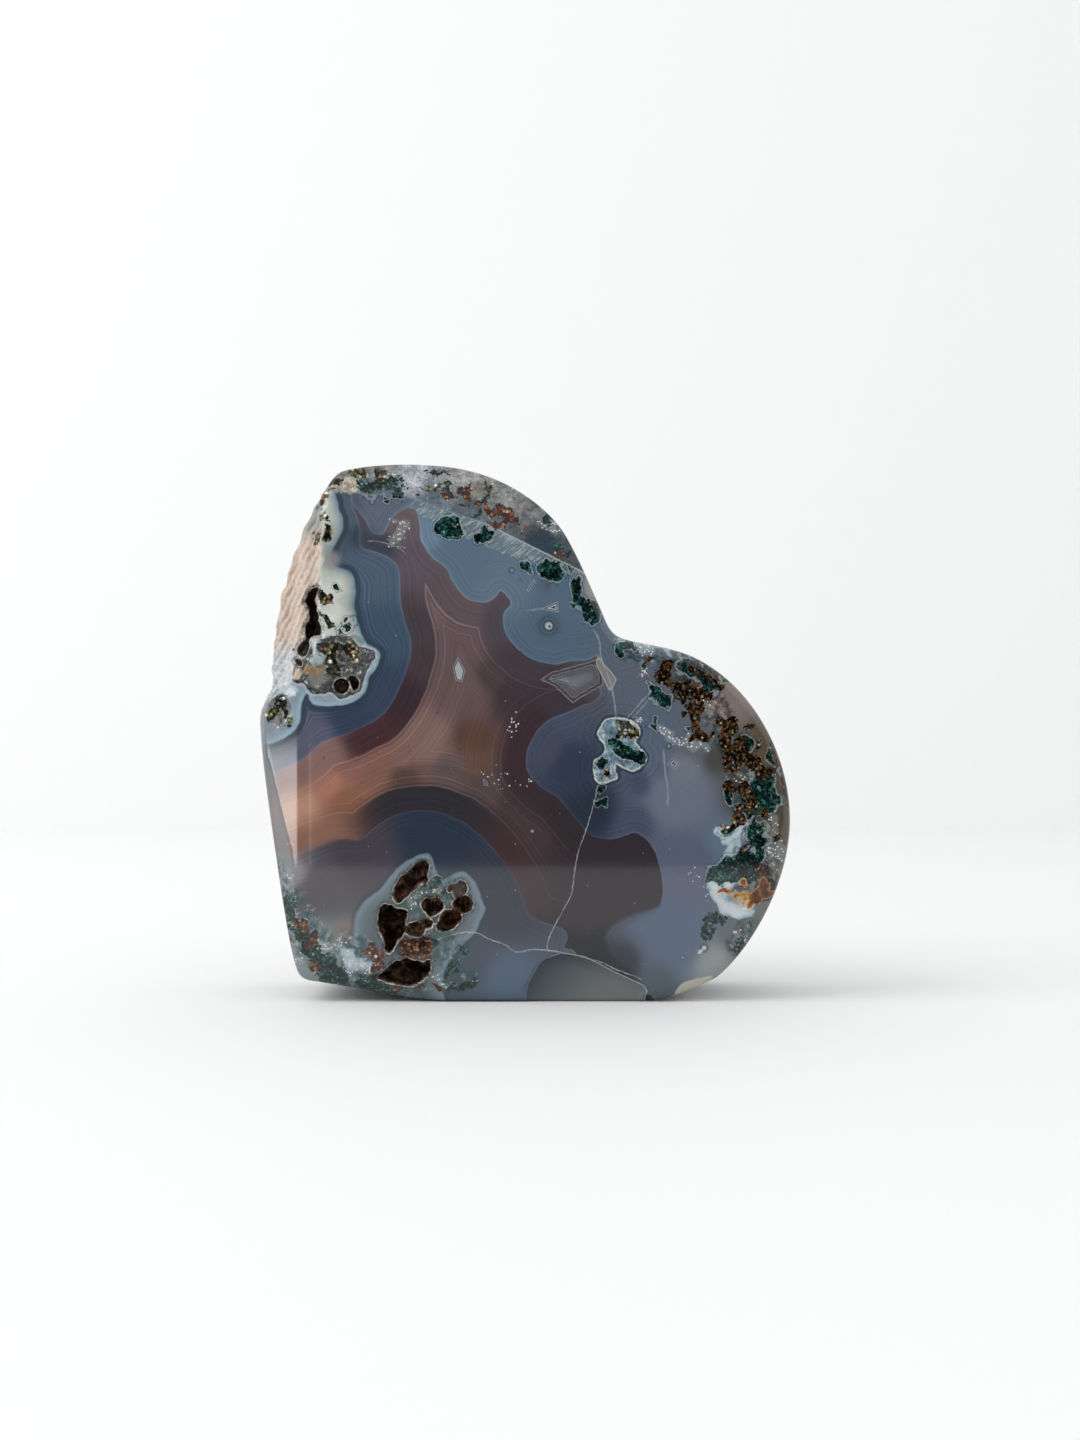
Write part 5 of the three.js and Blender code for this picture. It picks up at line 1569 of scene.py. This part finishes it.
def make_stone(settings):
    """The stone's mesh, with every distance and tint that its finish reads kept on the vertices."""
    grid = stone_surface(settings.edge_radius / MM)
    hollow = roughen(grid, settings.flake_depth / MM, settings.rind_relief / MM)
    middle_x, middle_z = GRID_MIDDLE
    centre_hollow = hollow_depth(np.array([float(middle_x)]), np.array([float(middle_z)]))[0]
    mesh = closed_mesh("heart_stone", grid,
                       (middle_x, FRONT + centre_hollow, middle_z), (middle_x, BACK, middle_z))
    points = np.vstack([grid.reshape(-1, 3), [[middle_x, FRONT, middle_z], [middle_x, BACK, middle_z]]])
    x, y, z = points.T
    px, pz = through_the_stone(x, y, z)
    keep_walls(mesh, px, pz)
    keep_growths(mesh, x, y, z, px, pz)
    keep_values(mesh, "hollow", np.append(hollow.ravel(), [centre_hollow, 0]))
    keep_marks(mesh, x, y, z)
    for name, tints in (("facet_tint", FACET_TINTS), ("wall_tint", WALL_TINTS),
                        ("middle_tint", MIDDLE_TINTS), ("lobe_tint", LOBE_TINTS)):
        keep_colours(mesh, name, tint(px, pz, tints))
    mesh.materials.append(agate_finish(settings))
    stone = bpy.data.objects.new("heart_stone_polished", mesh)
    bpy.context.scene.collection.objects.link(stone)
    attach(stone, "root")
    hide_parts("heart_stone")


def plain_finish(name, colour, roughness):
    """One colour all over."""
    f = Finish(name)
    return f.finished(f.node("BsdfPrincipled", {"Base Color": colour, "Roughness": roughness}))


def glow_finish(name, strength, edge, streak):
    """Light from a card: even left of an edge, with a faint soft streak farther right, fading upwards."""
    f = Finish(name)
    shader = f.node("Emission", {})
    even = f.fall(f.x, edge - 30.0, edge + 6.0)
    soft = f.fall(f.math("ABSOLUTE", f.minus(f.x, streak)), 0.0, 16.0, 0.2)
    fade = f.fall(f.z, 22.0, 44.0)
    f.put(shader.inputs["Strength"], f.times(f.times(f.plus(even, soft), fade), strength))
    return f.finished(shader)


def flat_card(name, corners, material, only_mirrored=False):
    """A stage surface from four corners in metres. Some are seen only as mirrored in the polish."""
    mesh = bpy.data.meshes.new(name)
    mesh.from_pydata(corners, [], [(0, 1, 2, 3)])
    mesh.materials.append(material)
    card = bpy.data.objects.new(name, mesh)
    bpy.context.scene.collection.objects.link(card)
    if only_mirrored:
        card.visible_camera = False
        card.visible_diffuse = False
        card.visible_shadow = False


def area_light(name, place, target, size, power, colour):
    """A rectangular light that faces its target."""
    light = bpy.data.lights.new(name, "AREA")
    light.shape = "RECTANGLE"
    light.size, light.size_y = size
    light.energy = power
    light.color = colour
    lamp = bpy.data.objects.new(name, light)
    lamp.location = place
    direction = np.array(target, float) - np.array(place, float)
    direction /= np.linalg.norm(direction)
    yaw = math.atan2(direction[1], direction[0]) - math.pi / 2
    pitch = math.acos(-direction[2])
    lamp.rotation_euler = (pitch, 0, yaw)
    bpy.context.scene.collection.objects.link(lamp)


def make_stage(settings):
    """A pale floor and wall, soft light, a dark and a bright card for the polish, and the camera."""
    pale = plain_finish("pale stage", settings.floor_colour, 0.75)
    flat_card("floor", [(-STAGE_HALF, FLOOR_FRONT, 0), (STAGE_HALF, FLOOR_FRONT, 0),
                        (STAGE_HALF, WALL_FOOT, 0), (-STAGE_HALF, WALL_FOOT, 0)], pale)
    flat_card("wall", [(-STAGE_HALF, WALL_FOOT, 0), (STAGE_HALF, WALL_FOOT, 0),
                       (STAGE_HALF, WALL_FOOT, WALL_TOP), (-STAGE_HALF, WALL_FOOT, WALL_TOP)], pale)
    dark = plain_finish("dark card", (0.012, 0.012, 0.013), 1.0)
    flat_card("dark_card", [(-0.9, -0.9, -0.4), (0.9, -0.9, -0.4), (0.9, -0.9, 0.5), (-0.9, -0.9, 0.5)],
              dark, only_mirrored=True)
    bright = glow_finish("bright card", settings.card_glow, -310.0, -144.0)
    flat_card("bright_card", [(-0.5, -0.88, -0.062), (-0.12, -0.88, -0.062), (-0.12, -0.88, 0.06),
                              (-0.5, -0.88, 0.06)], bright, only_mirrored=True)

    world = bpy.data.worlds.new("soft daylight")
    bpy.context.scene.world = world
    world.use_nodes = True
    background = world.node_tree.nodes["Background"]
    background.inputs["Color"].default_value = (0.96, 0.98, 1.0, 1)
    background.inputs["Strength"].default_value = settings.daylight
    area_light("window", (-0.9, -0.35, 0.8), (0, 0, 0.05), (0.9, 0.9), settings.window_power,
               (1.0, 0.99, 0.97))

    camera = bpy.data.cameras.new("camera")
    camera.lens = settings.lens
    camera.sensor_width = 36
    eye = bpy.data.objects.new("camera", camera)
    eye.location = settings.camera_place
    eye.rotation_euler = (math.pi / 2, 0, 0)
    bpy.context.scene.collection.objects.link(eye)
    bpy.context.scene.camera = eye
    bpy.context.scene.view_settings.view_transform = "Standard"


def length_setting(name, description, default, most):
    """A size in metres that the panel shows in the scene's units."""
    return bpy.props.FloatProperty(name=name, description=description, default=default, min=0, max=most,
                                   unit="LENGTH", precision=5)


def colour_setting(name, description, default):
    """A linear colour."""
    return bpy.props.FloatVectorProperty(name=name, description=description, subtype="COLOR",
                                         default=default, min=0, max=1)


class AgateStoneSettings(bpy.types.PropertyGroup):
    """What a user would change about the stone."""
    edge_radius: length_setting("Edge radius", "Radius of the rounded rim", 0.002, 0.004)
    flake_depth: length_setting("Flake depth", "Depth of the flake lost from the foot", 0.0011, 0.003)
    rind_relief: length_setting("Rind relief", "Height of the rind's fine relief", 0.00035, 0.001)
    polish: bpy.props.FloatProperty(
        name="Polish roughness", description="Roughness of the polished faces", default=0.05, min=0, max=1,
        subtype="FACTOR")
    rind_colour: colour_setting("Rind", "Pinkish beige of the upper rind", (0.71, 0.575, 0.475))
    core_colour: colour_setting("Pale core", "White in the middle of the left core", (0.6, 0.62, 0.57))
    panel_colour: colour_setting("Dark panel", "The panel beside the middle crack", (0.031, 0.025, 0.03))
    moss_colour: colour_setting("Green moss", "The moss where it is thin", (0.012, 0.06, 0.05))
    rust_colour: colour_setting("Rust", "Brown grains of the right lobe", (0.12, 0.05, 0.015))
    ember_colour: colour_setting("Ember", "Red and orange grains", (0.19, 0.042, 0.02))
    frost_colour: colour_setting("Frost", "White sparkles", (0.75, 0.78, 0.77))
    pit_colour: colour_setting("Pits", "Brown walls of the open pits", (0.13, 0.07, 0.045))


class AgateStageSettings(bpy.types.PropertyGroup):
    """What a user would change about the stage."""
    floor_colour: bpy.props.FloatVectorProperty(
        name="Floor colour", description="Colour of the floor and the wall", subtype="COLOR",
        default=(0.9, 0.9, 0.89), min=0, max=1)
    daylight: bpy.props.FloatProperty(
        name="Daylight", description="Strength of the soft light from all round", default=0.9, min=0)
    window_power: bpy.props.FloatProperty(
        name="Window power", description="Power of the large soft light on the left", default=6.0, min=0,
        unit="POWER")
    card_glow: bpy.props.FloatProperty(
        name="Card glow", description="Strength of the bright card that the left flank mirrors",
        default=6.4, min=0)
    lens: bpy.props.FloatProperty(
        name="Lens", description="Focal length of the camera, in mm on a 36 mm sensor", default=52.0,
        min=10)
    camera_place: bpy.props.FloatVectorProperty(
        name="Camera place", description="Where the camera stands", subtype="TRANSLATION", unit="LENGTH",
        default=(0.00266, -0.3818, 0.0498))


class AGATE_OT_stone(bpy.types.Operator):
    """Makes the polished agate heart"""
    bl_idname = "agate.stone"
    bl_label = "Make the Stone"

    def execute(self, context):
        make_stone(context.scene.agate_stone)
        return {"FINISHED"}


class AGATE_OT_stage(bpy.types.Operator):
    """Makes the floor, the wall, the lights and the camera"""
    bl_idname = "agate.stage"
    bl_label = "Make the Stage"

    def execute(self, context):
        make_stage(context.scene.agate_stage)
        return {"FINISHED"}


class AGATE_PT_panel(bpy.types.Panel):
    """The agate heart's settings and steps"""
    bl_idname = "AGATE_PT_panel"
    bl_label = "Agate Heart"
    bl_space_type = "VIEW_3D"
    bl_region_type = "UI"
    bl_category = "Agate"

    def draw(self, context):
        layout = self.layout
        for step, settings in (("stone", AgateStoneSettings), ("stage", AgateStageSettings)):
            for name in settings.__annotations__:
                layout.prop(getattr(context.scene, "agate_" + step), name)
            layout.operator("agate." + step)


CLASSES = (AgateStoneSettings, AgateStageSettings, AGATE_OT_stone, AGATE_OT_stage, AGATE_PT_panel)


def register():
    for cls in CLASSES:
        bpy.utils.register_class(cls)
    bpy.types.Scene.agate_stone = bpy.props.PointerProperty(type=AgateStoneSettings)
    bpy.types.Scene.agate_stage = bpy.props.PointerProperty(type=AgateStageSettings)


def unregister():
    del bpy.types.Scene.agate_stage
    del bpy.types.Scene.agate_stone
    for cls in reversed(CLASSES):
        bpy.utils.unregister_class(cls)


def main():
    register()
    bpy.ops.agate.stone()
    bpy.ops.agate.stage()


if __name__ == "__main__":
    main()
